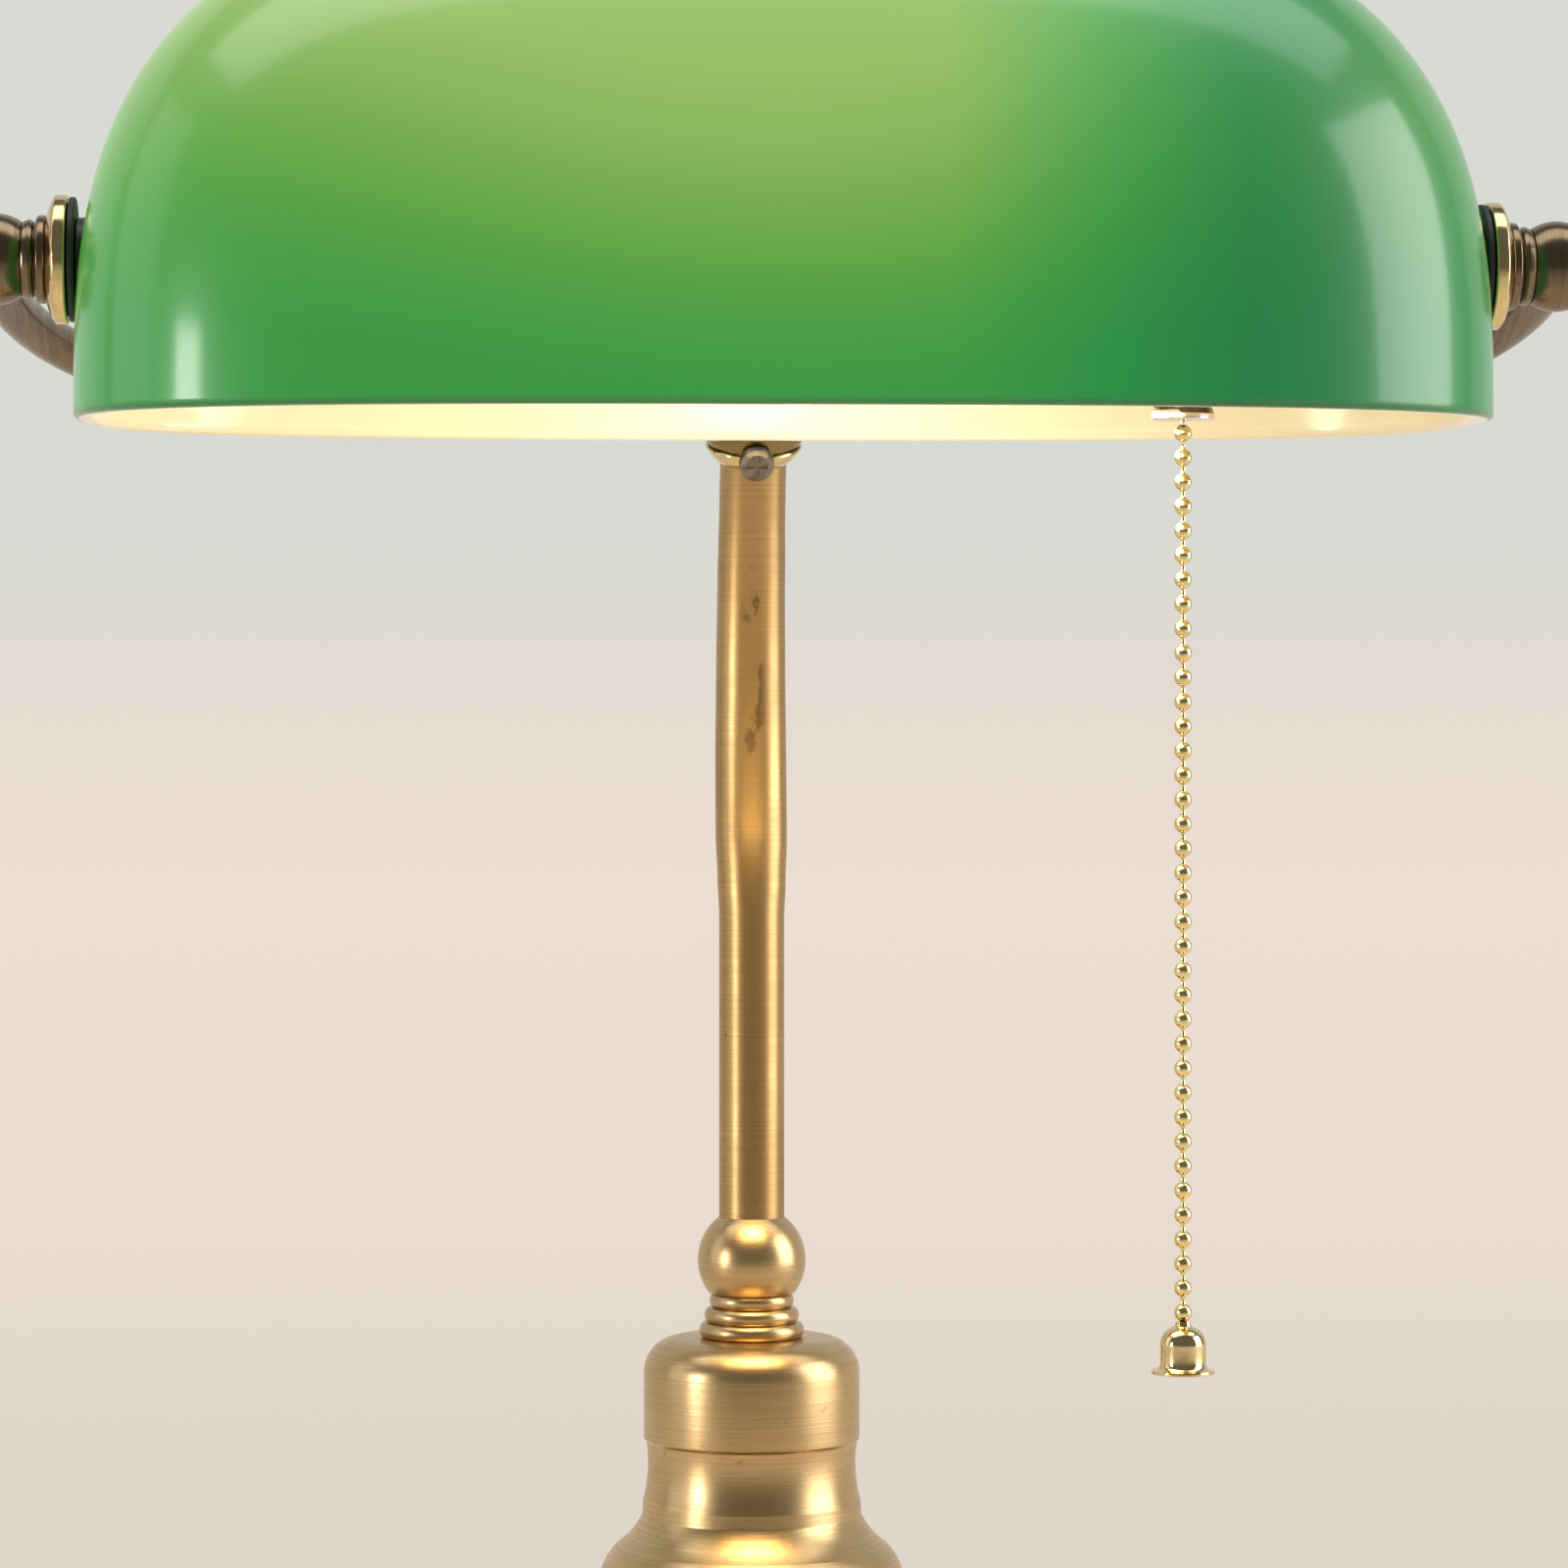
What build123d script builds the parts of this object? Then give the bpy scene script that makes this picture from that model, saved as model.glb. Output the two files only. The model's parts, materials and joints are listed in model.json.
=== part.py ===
from build123d import *
import math
import os

# Banker desk lamp. Millimetres, +Z up, origin at the centre of the felt under the base.
# The lamp faces -Y; the stem leans back (+Y) and the yoke carries the shade forward.

# ---------------------------------------------------------------- driving dimensions
FELT_T = 2.0
FOOT_R = 85.0
SHELL_WALL = 1.6
NECK_R = 21.0
NECK_TOP = 92.3

THREAD_R = 5.0             # M10 hollow thread, outside
THREAD_BORE = 3.5
THREAD_FIT = 0.05          # radial gap of everything screwed or turning on it
BORE_R = THREAD_R + THREAD_FIT

RING_H = 2.9
RING_RADII = (10.2, 9.2, 8.2)
STEM_BALL_Z = 107.4
STEM_BALL_R = 10.5

STEM_R = 6.35              # half-inch tube
STEM_BORE = 5.2
STEM_FOOT_Z = 109.0
BEND_Z = 174.0             # the stem leaves the vertical here
BACK_R = 92.0              # first bend, backwards
BACK_DEG = 10.0
FORWARD_R = 141.0          # second bend, forwards to the hub
FORWARD_DEG = 20.0         # the lean it ends with
HUB_RISE = 8.5             # from the end of the second bend to the hub's centre
HUB_R = 10.2

PIVOT_Y = -92.0
PIVOT_Z = 294.0
ELBOW_X = 138.6
ELBOW_R = 8.1
ARM_R = 4.0
ARM_BORE = 3.0
ARM_BEND_R = 75.5

SHADE_A = 124.4            # half length at the rim
SHADE_B = 66.5             # half depth at the rim
SHADE_H = 95.7
RIM_Z = 265.5
GLASS_T = 3.2
PLAN_EXP = 3.0
FRONT_EXP = 3.0
SIDE_EXP = 2.4
GLASS_HOLE_R = 6.25
SEAT_OUT_X = 122.0         # ground flats round the hole, outside and inside
SEAT_IN_X = 119.2
SEAT_R = 7.5

SOCKET_R = 17.0
SOCKET_END_X = 36.0
SPOUT_X = 71.5
BEAD_R = 1.6
BEAD_PITCH = 4.35
BEAD_FLAT = 1.52           # the bead's ends are cut flat where its link enters
LINK_R = 0.5
BEAD_COUNT = 37
TOP_BEAD_Z = 264.0
LEAD_R = 1.6

os.makedirs("parts", exist_ok=True)


# ---------------------------------------------------------------- helpers
def write(part, name):
    """Label a finished piece and write it to its own file."""
    part.label = name
    export_step(part, f"parts/{name}.step")


def turned(plane, outline):
    """A piece turned on a lathe: straight-sided outline of (radius, height) about the plane's normal."""
    section = Plane(origin=plane.origin, x_dir=plane.x_dir, z_dir=-plane.y_dir)
    with BuildPart() as piece:
        with BuildSketch(section):
            with BuildLine():
                Polyline(*outline, close=True)
            make_face()
        revolve(axis=Axis(plane.origin, plane.z_dir))
    return piece.part


def tube_outline(inner, outer, low, high):
    """The outline of a plain ring."""
    return [(inner, low), (outer, low), (outer, high), (inner, high)]


def pivot_plane(side, x):
    """A plane square to the shade's pivot axis at distance x, its normal pointing to that side."""
    return Plane(origin=(side * x, PIVOT_Y, PIVOT_Z), x_dir=(0, 1, 0), z_dir=(side, 0, 0))


# ---------------------------------------------------------------- base
with BuildPart() as felt_pad:
    with BuildSketch():
        Circle(FOOT_R - 3)
    extrude(amount=FELT_T)
write(felt_pad.part, "felt_pad")

PLATE_T = 1.5
PLATE_TOP = FELT_T + PLATE_T
SCREW_CIRCLE = 66.0
with BuildPart() as base_plate:
    with BuildSketch(Plane.XY.offset(FELT_T)):
        Circle(FOOT_R - SHELL_WALL - 0.2)
        Circle(10, mode=Mode.SUBTRACT)
        with PolarLocations(SCREW_CIRCLE, 3, start_angle=30):
            Circle(2.1, mode=Mode.SUBTRACT)
    extrude(amount=PLATE_T)
write(base_plate.part, "base_plate")

INLET_Z = 7.5
INLET_HOLE_R = 3.6
CROWN_R = 6.6              # the round at the top of the neck
with BuildPart() as base_shell:
    with BuildSketch(Plane.XZ):
        with BuildLine():
            foot = Polyline((0, 1), (FOOT_R, 1), (FOOT_R, 11.5))
            nose = ThreePointArc(foot @ 1, (84.0, 14.0), (81.5, 15.0))
            step = Polyline(nose @ 1, (79.0, 15.0), (79.0, 17.0))
            dome = ThreePointArc(step @ 1, (70.0, 21.2), (59.0, 23.2))
            cove = ThreePointArc(dome @ 1, (48.0, 25.8), (41.0, 31.0))
            bead_foot = Line(cove @ 1, (41.0, 32.0))
            bead = ThreePointArc(bead_foot @ 1, (43.0, 34.1), (41.0, 36.2))
            ledge = Line(bead @ 1, (37.0, 36.6))
            lower_cove = ThreePointArc(ledge @ 1, (32.0, 38.7), (29.9, 43.6))
            shoulder = ThreePointArc(lower_cove @ 1, (28.5, 49.1), (26.3, 52.0))
            flare = ThreePointArc(shoulder @ 1, (22.9, 55.3), (21.3, 58.0))
            band = Line(flare @ 1, (21.2, 60.6))
            waist = ThreePointArc(band @ 1, (20.2, 67.5), (20.5, 72.3))
            neck = Polyline(waist @ 1, (NECK_R, 72.8), (NECK_R, NECK_TOP - CROWN_R))
            crown = RadiusArc(neck @ 1, (NECK_R - CROWN_R, NECK_TOP), -CROWN_R)
            Polyline(crown @ 1, (0, NECK_TOP), (0, 1))
        make_face()
        offset(amount=-SHELL_WALL, mode=Mode.SUBTRACT)
        with Locations((0, 45)):
            Rectangle(2 * (THREAD_R + THREAD_FIT), 120, mode=Mode.SUBTRACT)
        with Locations((0, 0)):
            Rectangle(2 * (FOOT_R - SHELL_WALL), 2 * (1 + SHELL_WALL + 0.05), mode=Mode.SUBTRACT)
    revolve(axis=Axis.Z)
    with BuildSketch(Plane(origin=(0, 70, INLET_Z), x_dir=(1, 0, 0), z_dir=(0, 1, 0))):
        Circle(INLET_HOLE_R)
    extrude(amount=20, mode=Mode.SUBTRACT)
write(base_shell.part, "base_shell")

RECESS_R = 13.0
RECESS_TOP = 20.0
with BuildPart() as base_weight:
    with BuildSketch(Plane.XZ):
        with BuildLine():
            Polyline(
                (THREAD_R + 0.3, PLATE_TOP), (74, PLATE_TOP), (74, 12), (56, 20), (40, 25),
                (34, 34), (22, 36), (THREAD_R + 0.3, 36), close=True,
            )
        make_face()
    revolve(axis=Axis.Z)
    with BuildSketch(Plane.XY.offset(PLATE_TOP)):
        Circle(RECESS_R)
    extrude(amount=RECESS_TOP - PLATE_TOP, mode=Mode.SUBTRACT)
    with BuildSketch(Plane.XY.offset(PLATE_TOP)):
        with Locations((0, 40)):
            Rectangle(9, 80)
    extrude(amount=9, mode=Mode.SUBTRACT)
    with BuildSketch(Plane.XY.offset(PLATE_TOP)):
        with PolarLocations(SCREW_CIRCLE, 3, start_angle=30):
            Circle(1.6)
    extrude(amount=7, mode=Mode.SUBTRACT)
write(base_weight.part, "base_weight")

with BuildPart() as plate_screws:
    with BuildSketch(Plane.XY.offset(FELT_T)):
        with PolarLocations(SCREW_CIRCLE, 3, start_angle=30):
            Circle(1.6)
    extrude(amount=7.5)
write(plate_screws.part, "plate_screws")

# Cord inlet: a nylon bushing in the back of the foot.
inlet_plane = Plane(origin=(0, FOOT_R, INLET_Z), x_dir=(1, 0, 0), z_dir=(0, 1, 0))
write(
    turned(
        inlet_plane,
        [
            (2.4, -5.5), (3.9, -5.5), (3.9, -2.1), (3.5, -2.1), (3.5, 0.1),
            (5.4, 0.1), (4.9, 1.8), (2.9, 1.8), (2.4, 1.2),
        ],
    ),
    "cord_bushing",
)

NIPPLE_FOOT = 12.0
write(turned(Plane.XY, tube_outline(THREAD_BORE, THREAD_R, NIPPLE_FOOT, STEM_FOOT_Z - 0.5)), "neck_nipple")
write(turned(Plane.XY, tube_outline(THREAD_R + THREAD_FIT, 11.0, 18.4, RECESS_TOP)), "neck_washer")
with BuildPart() as neck_nut:
    with BuildSketch(Plane.XY.offset(13.4)):
        RegularPolygon(8.5, 6)
        Circle(THREAD_R + THREAD_FIT, mode=Mode.SUBTRACT)
    extrude(amount=5.0)
    chamfer(neck_nut.edges().filter_by(GeomType.LINE).filter_by(Axis.Z, reverse=True), 0.5)
write(neck_nut.part, "neck_nut")

# ---------------------------------------------------------------- ring collar and ball
RING_TOP = NECK_TOP + RING_H * len(RING_RADII)
with BuildPart() as ring_collar:
    with BuildSketch(Plane.XZ):
        with BuildLine():
            foot = Line((BORE_R, NECK_TOP), (RING_RADII[0] - 0.7, NECK_TOP))
            end = foot @ 1
            for number, radius in enumerate(RING_RADII):
                low = NECK_TOP + RING_H * number
                if number > 0:
                    end = Line(end, (radius - 0.7, low)) @ 1
                end = ThreePointArc(end, (radius, low + RING_H / 2), (radius - 0.7, low + RING_H)) @ 1
            Polyline(end, (BORE_R, RING_TOP), foot @ 0)
        make_face()
    revolve(axis=Axis.Z)
write(ring_collar.part, "ring_collar")

with BuildPart() as stem_ball:
    with Locations((0, 0, STEM_BALL_Z)):
        Sphere(STEM_BALL_R)
    split(bisect_by=Plane.XY.offset(RING_TOP), keep=Keep.TOP)
    with BuildSketch(Plane.XY.offset(RING_TOP)):
        Circle(THREAD_R + THREAD_FIT)
    extrude(amount=20, mode=Mode.SUBTRACT)
    with BuildSketch(Plane.XY.offset(STEM_FOOT_Z)):
        Circle(STEM_R + THREAD_FIT)
    extrude(amount=20, mode=Mode.SUBTRACT)
write(stem_ball.part, "stem_ball")

# ---------------------------------------------------------------- bent stem tube
BACK = math.radians(BACK_DEG)
FORWARD = math.radians(FORWARD_DEG)
BACK_END = Vector(0, BACK_R * (1 - math.cos(BACK)), BEND_Z + BACK_R * math.sin(BACK))
FORWARD_END = BACK_END + Vector(
    0,
    FORWARD_R * (math.cos(FORWARD) - math.cos(BACK)),
    FORWARD_R * (math.sin(FORWARD) + math.sin(BACK)),
)
STEM_DIR = Vector(0, -math.sin(FORWARD), math.cos(FORWARD))
HUB = FORWARD_END + STEM_DIR * HUB_RISE
STEM_TOP = -4.5            # the tube ends this far along from the hub's centre


def back_station(lean_deg):
    """The plane square to the stem where its first bend has reached this lean."""
    lean = math.radians(lean_deg)
    origin = (0, BACK_R * (1 - math.cos(lean)), BEND_Z + BACK_R * math.sin(lean))
    return Plane(origin=origin, x_dir=(1, 0, 0), z_dir=(0, math.sin(lean), math.cos(lean)))


def forward_station(lean_deg):
    """The plane square to the stem where its second bend has come to this lean."""
    lean = math.radians(lean_deg)
    along_y = FORWARD_R * (math.cos(lean) - math.cos(BACK))
    along_z = FORWARD_R * (math.sin(BACK) - math.sin(lean))
    origin = BACK_END + Vector(0, along_y, along_z)
    return Plane(origin=origin, x_dir=(1, 0, 0), z_dir=(0, math.sin(lean), math.cos(lean)))


def hub_plane(distance):
    """The plane square to the stem's top, at a distance along it from the hub's centre."""
    return Plane(origin=HUB + STEM_DIR * distance, x_dir=(1, 0, 0), z_dir=STEM_DIR)


# Bending has flattened the tube: it is wider across X in the bends, most of all in the first.
stem_sections = [(back_station(lean), widening) for lean, widening in ((0, 0.0), (5, 0.3), (10, 0.6))]
for lean, widening in ((4, 0.6), (-3, 0.44), (-10, 0.27), (-16, 0.1), (-20, 0.0)):
    stem_sections.append((forward_station(lean), widening))
stem_sections.append((hub_plane(STEM_TOP), 0.0))


def stem_layer(radius):
    """The stem as a solid of the given radius, straight foot and widened bend."""
    with BuildPart() as layer:
        with BuildSketch(Plane.XY.offset(STEM_FOOT_Z)):
            Circle(radius)
        extrude(amount=BEND_Z - STEM_FOOT_Z)
        for plane, widening in stem_sections:
            with BuildSketch(plane):
                Ellipse(radius + widening, radius)
        loft()
    return layer.part


with BuildPart() as stem_tube:
    add(stem_layer(STEM_R))
    add(stem_layer(STEM_BORE), mode=Mode.SUBTRACT)
write(stem_tube.part, "stem_tube")

# ---------------------------------------------------------------- hub
HUB_CAVITY = 6.4
ARM_START = 6.8            # the arms reach to this distance from the hub's centre
COLLAR_HIGH = -4.9         # the collar, a bowl-shaped ring, ends below a thin groove
COLLAR_LOW = -8.3
BALL_LOW = -4.4
SCREW_AT = -5.8
SCREW_R = 1.75
HEAD_LOW = 9.95
screw_axis = Vector(0, -math.cos(FORWARD), -math.sin(FORWARD))
screw_plane = Plane(origin=HUB + STEM_DIR * SCREW_AT, x_dir=(1, 0, 0), z_dir=screw_axis)
with BuildPart() as hub_ball:
    with Locations(HUB):
        Sphere(HUB_R)
    split(bisect_by=hub_plane(BALL_LOW), keep=Keep.TOP)
    with BuildSketch(hub_plane(COLLAR_HIGH)):
        Circle(8.3)
    extrude(amount=BALL_LOW - COLLAR_HIGH + 0.2)
    with Locations(HUB):
        Sphere(HUB_CAVITY, mode=Mode.SUBTRACT)
    with BuildSketch(Plane(origin=HUB + Vector(-20, 0, 0), x_dir=(0, 1, 0), z_dir=(1, 0, 0))):
        Circle(ARM_R + THREAD_FIT)
    extrude(amount=40, mode=Mode.SUBTRACT)
    with BuildSketch(hub_plane(-10)):
        Circle(STEM_R + 0.1)
    extrude(amount=10 + STEM_TOP + 0.2, mode=Mode.SUBTRACT)
    with BuildSketch(screw_plane):
        Circle(SCREW_R + THREAD_FIT)
    extrude(amount=15, mode=Mode.SUBTRACT)
write(hub_ball.part, "hub_ball")

with BuildPart() as hub_collar:
    add(
        turned(
            hub_plane(0),
            [
                (STEM_R + 0.1, COLLAR_LOW), (7.0, COLLAR_LOW), (8.0, COLLAR_LOW + 0.9),
                (8.8, COLLAR_LOW + 1.9), (9.35, COLLAR_HIGH - 0.6), (9.3, COLLAR_HIGH - 0.2),
                (9.0, COLLAR_HIGH), (STEM_R + 0.1, COLLAR_HIGH),
            ],
        )
    )
    with BuildSketch(screw_plane):
        Circle(SCREW_R + THREAD_FIT)
    extrude(amount=15, mode=Mode.SUBTRACT)
write(hub_collar.part, "hub_collar")

with BuildPart() as hub_screw:
    add(
        turned(
            screw_plane,
            [
                (0, STEM_R + 0.1), (SCREW_R, STEM_R + 0.1), (SCREW_R, HEAD_LOW),
                (3.4, HEAD_LOW), (3.4, HEAD_LOW + 1.1), (3.05, HEAD_LOW + 1.9),
                (2.2, HEAD_LOW + 2.3), (0, HEAD_LOW + 2.4),
            ],
        )
    )
    with BuildSketch(screw_plane.offset(HEAD_LOW + 1.1)):
        Rectangle(4.2, 0.9)
        Rectangle(0.9, 4.2)
    extrude(amount=3, mode=Mode.SUBTRACT)
write(hub_screw.part, "hub_screw")

# ---------------------------------------------------------------- yoke arms and pivots
TO_PIVOT = (Vector(0, PIVOT_Y, PIVOT_Z) - HUB).normalized()
REACH = (Vector(0, PIVOT_Y, PIVOT_Z) - HUB).length
ELBOW_CAVITY = 4.8
ARM_END_GAP = 5.0
ELBOW_FLAT_X = 134.0


def yoke_corner(side):
    """Where the two straight runs of an arm would meet."""
    return Vector(side * ELBOW_X, HUB.Y, HUB.Z)


def arm_tube(side):
    """One arm: a tube out of the hub, round one large bend and into the elbow ball."""
    start = HUB + Vector(side * ARM_START, 0, 0)
    end = yoke_corner(side) + TO_PIVOT * (REACH - ARM_END_GAP)
    with BuildPart() as arm:
        with BuildLine():
            FilletPolyline(start, yoke_corner(side), end, radius=ARM_BEND_R)
        with BuildSketch(Plane(origin=start, x_dir=(0, 1, 0), z_dir=(side, 0, 0))):
            Circle(ARM_R)
            Circle(ARM_BORE, mode=Mode.SUBTRACT)
        sweep()
    return arm.part


def elbow_ball(side):
    """A hollow ball that turns the arm's run into the pivot axis."""
    centre = Vector(side * ELBOW_X, PIVOT_Y, PIVOT_Z)
    flat_r = math.sqrt(ELBOW_R**2 - (ELBOW_X - ELBOW_FLAT_X) ** 2)
    section = Plane(origin=(0, PIVOT_Y, PIVOT_Z), x_dir=(0, 1, 0), z_dir=(0, 0, -side))
    with BuildPart() as ball:
        with BuildSketch(section):
            with BuildLine():
                face = Line((BORE_R, ELBOW_FLAT_X), (flat_r, ELBOW_FLAT_X))
                shell = ThreePointArc(face @ 1, (ELBOW_R, ELBOW_X), (0, ELBOW_X + ELBOW_R))
                crown = Line(shell @ 1, (0, ELBOW_X + ELBOW_CAVITY))
                diagonal = ELBOW_CAVITY * math.sqrt(0.5)
                hollow = ThreePointArc(crown @ 1, (diagonal, ELBOW_X + diagonal), (ELBOW_CAVITY, ELBOW_X))
                Polyline(hollow @ 1, (BORE_R, ELBOW_X), face @ 0)
            make_face()
        revolve(axis=Axis((0, PIVOT_Y, PIVOT_Z), (side, 0, 0)))
        with BuildSketch(Plane(origin=centre - TO_PIVOT * 12, z_dir=TO_PIVOT)):
            Circle(ARM_R + THREAD_FIT)
        extrude(amount=12, mode=Mode.SUBTRACT)
    return ball.part


FLANGE_X = 124.4           # outer face of the bush's flange
WASHER_X = 124.5
CUP_X = 125.6
RINGS_X = 129.4
BUSH_R = 6.0
INNER_WASHER_X = 118.2
NUT_X = 118.1

washer_outline = tube_outline(BORE_R, 11.0, WASHER_X, CUP_X)
cup_outline = [
    (BORE_R, CUP_X), (9.6, CUP_X), (10.2, CUP_X + 0.5), (10.8, CUP_X + 0.1), (11.4, CUP_X + 0.4),
    (11.4, CUP_X + 2.4), (10.6, CUP_X + 3.0), (8.6, CUP_X + 3.8), (BORE_R, RINGS_X),
]
rings_outline = [
    (BORE_R, RINGS_X), (7.2, RINGS_X), (7.8, RINGS_X + 0.5), (7.8, RINGS_X + 1.6), (7.2, RINGS_X + 2.1),
    (6.3, RINGS_X + 2.2), (6.8, RINGS_X + 2.6), (7.1, RINGS_X + 3.2), (6.8, RINGS_X + 4.1),
    (6.5, ELBOW_FLAT_X), (BORE_R, ELBOW_FLAT_X),
]
bush_outline = [
    (BORE_R, INNER_WASHER_X), (BUSH_R, INNER_WASHER_X), (BUSH_R, SEAT_OUT_X), (7.4, SEAT_OUT_X),
    (7.4, FLANGE_X - 0.3), (7.1, FLANGE_X), (BORE_R, FLANGE_X),
]
inner_washer_outline = tube_outline(BUSH_R + THREAD_FIT, 7.4, INNER_WASHER_X, SEAT_IN_X)
NIPPLE_INNER_X = {-1: 112.5, 1: 92.0}

for side, side_name in ((-1, "left"), (1, "right")):
    axis_plane = pivot_plane(side, 0)
    write(arm_tube(side), f"{side_name}_arm")
    write(elbow_ball(side), f"{side_name}_elbow")
    write(turned(axis_plane, rings_outline), f"{side_name}_neck_rings")
    write(turned(axis_plane, cup_outline), f"{side_name}_cup")
    write(turned(axis_plane, washer_outline), f"{side_name}_rubber_washer")
    write(turned(axis_plane, bush_outline), f"{side_name}_bush")
    write(turned(axis_plane, inner_washer_outline), f"{side_name}_inner_washer")
    nipple_outline = tube_outline(THREAD_BORE, THREAD_R, NIPPLE_INNER_X[side], 135.5)
    write(turned(axis_plane, nipple_outline), f"{side_name}_nipple")
    with BuildPart() as nut:
        with BuildSketch(pivot_plane(side, NUT_X - 4)):
            RegularPolygon(8.5, 6)
            Circle(BORE_R, mode=Mode.SUBTRACT)
        extrude(amount=4)
    write(nut.part, f"{side_name}_nut")


# ---------------------------------------------------------------- glass shade
def oval(half_length, half_depth, points):
    """Points round a superellipse, denser at its corners."""
    outline = []
    for i in range(points):
        turn = 2 * math.pi * i / points
        c = math.cos(turn)
        s = math.sin(turn)
        x = math.copysign(abs(c) ** (2 / PLAN_EXP), c) * half_length
        y = math.copysign(abs(s) ** (2 / PLAN_EXP), s) * half_depth
        outline.append((x, y))
    return outline


def shade_body(half_length, half_depth, height, drop):
    """A solid of the shade's rounded-box form, its rim carried down by drop."""
    heights = [0.0, 0.2, 0.4, 0.58, 0.73, 0.84, 0.915, 0.962, 0.988, 0.998]
    with BuildPart() as body:
        for share in heights:
            front = (1 - share ** FRONT_EXP) ** (1 / FRONT_EXP)
            side = (1 - share ** SIDE_EXP) ** (1 / SIDE_EXP)
            plane = Plane(origin=(0, PIVOT_Y, RIM_Z + share * height))
            with BuildSketch(plane):
                with BuildLine():
                    Spline(*oval(half_length * front, half_depth * side, 32), periodic=True)
                make_face()
        loft()
        if drop > 0:
            with BuildSketch(Plane(origin=(0, PIVOT_Y, RIM_Z))):
                with BuildLine():
                    Spline(*oval(half_length, half_depth, 32), periodic=True)
                make_face()
            extrude(amount=-drop)
    return body.part


with BuildPart() as glass_shade:
    add(shade_body(SHADE_A, SHADE_B, SHADE_H, 0))
    inside = shade_body(SHADE_A - GLASS_T, SHADE_B - GLASS_T, SHADE_H - GLASS_T, 1)
    add(inside, mode=Mode.SUBTRACT)
    for side in (-1, 1):
        with BuildSketch(pivot_plane(side, SEAT_OUT_X)):
            Circle(SEAT_R)
        extrude(amount=6, mode=Mode.SUBTRACT)
        with BuildSketch(pivot_plane(side, 100)):
            Circle(SEAT_R + 0.3)
        extrude(amount=SEAT_IN_X - 100, mode=Mode.SUBTRACT)
        with BuildSketch(pivot_plane(side, 110)):
            Circle(GLASS_HOLE_R)
        extrude(amount=16, mode=Mode.SUBTRACT)
write(glass_shade.part, "glass_shade")

# ---------------------------------------------------------------- lampholder, along the pivot axis
holder_plane = pivot_plane(1, 0)
CAP_X = 88.0
HOUSING_R = 14.5
HOUSING_X = (62.0, 88.0)
SPOUT_R = 4.0
spout_plane = Plane(origin=(SPOUT_X, PIVOT_Y, 0))

write(
    turned(
        holder_plane,
        [
            (BORE_R, 102.0), (8.2, 102.0), (8.2, 98.4), (11.0, 97.6), (14.4, 95.2), (16.4, 91.8),
            (17.7, CAP_X), (17.7, CAP_X - 2), (17.1, CAP_X - 2), (17.1, CAP_X),
            (15.6, 91.4), (13.8, 94.2), (10.6, 96.4), (BORE_R, 97.0),
        ],
    ),
    "socket_cap",
)

with BuildPart() as socket_shell:
    add(turned(holder_plane, tube_outline(SOCKET_R - 0.6, SOCKET_R, SOCKET_END_X, CAP_X - 0.2)))
    with BuildSketch(spout_plane.offset(PIVOT_Z - 20)):
        Circle(SPOUT_R + 0.1)
    extrude(amount=12, mode=Mode.SUBTRACT)
write(socket_shell.part, "socket_shell")

with BuildPart() as socket_liner:
    add(turned(holder_plane, tube_outline(15.4, SOCKET_R - 0.7, SOCKET_END_X + 2, CAP_X - 3)))
    with BuildSketch(spout_plane.offset(PIVOT_Z - 20)):
        Circle(SPOUT_R + 0.1)
    extrude(amount=12, mode=Mode.SUBTRACT)
write(socket_liner.part, "socket_liner")

DRUM_X = 77.0
DRUM_Z = 292.0
DRUM_R = 4.6
SPOUT_TOP = 283.0
with BuildPart() as switch_housing:
    housing_outline = [
        (0, HOUSING_X[0]), (HOUSING_R, HOUSING_X[0]), (HOUSING_R, HOUSING_X[1]), (0, HOUSING_X[1]),
    ]
    add(turned(holder_plane, housing_outline))
    with Locations((76.0, PIVOT_Y, 291.5)):
        Box(14, 8, 17, mode=Mode.SUBTRACT)
    with BuildSketch(spout_plane.offset(PIVOT_Z - 20)):
        Circle(SPOUT_R + THREAD_FIT)
    extrude(amount=SPOUT_TOP - PIVOT_Z + 20.2, mode=Mode.SUBTRACT)
    with BuildSketch(Plane(origin=(DRUM_X, PIVOT_Y - 7, DRUM_Z), x_dir=(1, 0, 0), z_dir=(0, 1, 0))):
        Circle(1.05)
    extrude(amount=14, mode=Mode.SUBTRACT)
    with BuildSketch(pivot_plane(1, 80)):
        with Locations((9.5, 0), (-9.5, 0)):
            Circle(1.55)
        with Locations((0, 0)):
            Circle(2.2)
    extrude(amount=10, mode=Mode.SUBTRACT)
write(switch_housing.part, "switch_housing")

with BuildPart() as switch_drum:
    with BuildSketch(Plane(origin=(DRUM_X, PIVOT_Y - 3, DRUM_Z), x_dir=(1, 0, 0), z_dir=(0, 1, 0))):
        Circle(DRUM_R)
        with PolarLocations(3.1, 4):
            Circle(0.6, mode=Mode.SUBTRACT)
    extrude(amount=6)
    with BuildSketch(Plane(origin=(DRUM_X, PIVOT_Y - 5.5, DRUM_Z), x_dir=(1, 0, 0), z_dir=(0, 1, 0))):
        Circle(1.0)
    extrude(amount=11)
write(switch_drum.part, "switch_drum")

with BuildPart() as terminal_screws:
    with BuildSketch(pivot_plane(1, 81)):
        with Locations((9.5, 0), (-9.5, 0)):
            Circle(1.5)
    extrude(amount=8)
    with BuildSketch(pivot_plane(1, HOUSING_X[1])):
        with Locations((9.5, 0), (-9.5, 0)):
            Circle(2.6)
    extrude(amount=1.8)
write(terminal_screws.part, "terminal_screws")

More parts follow.
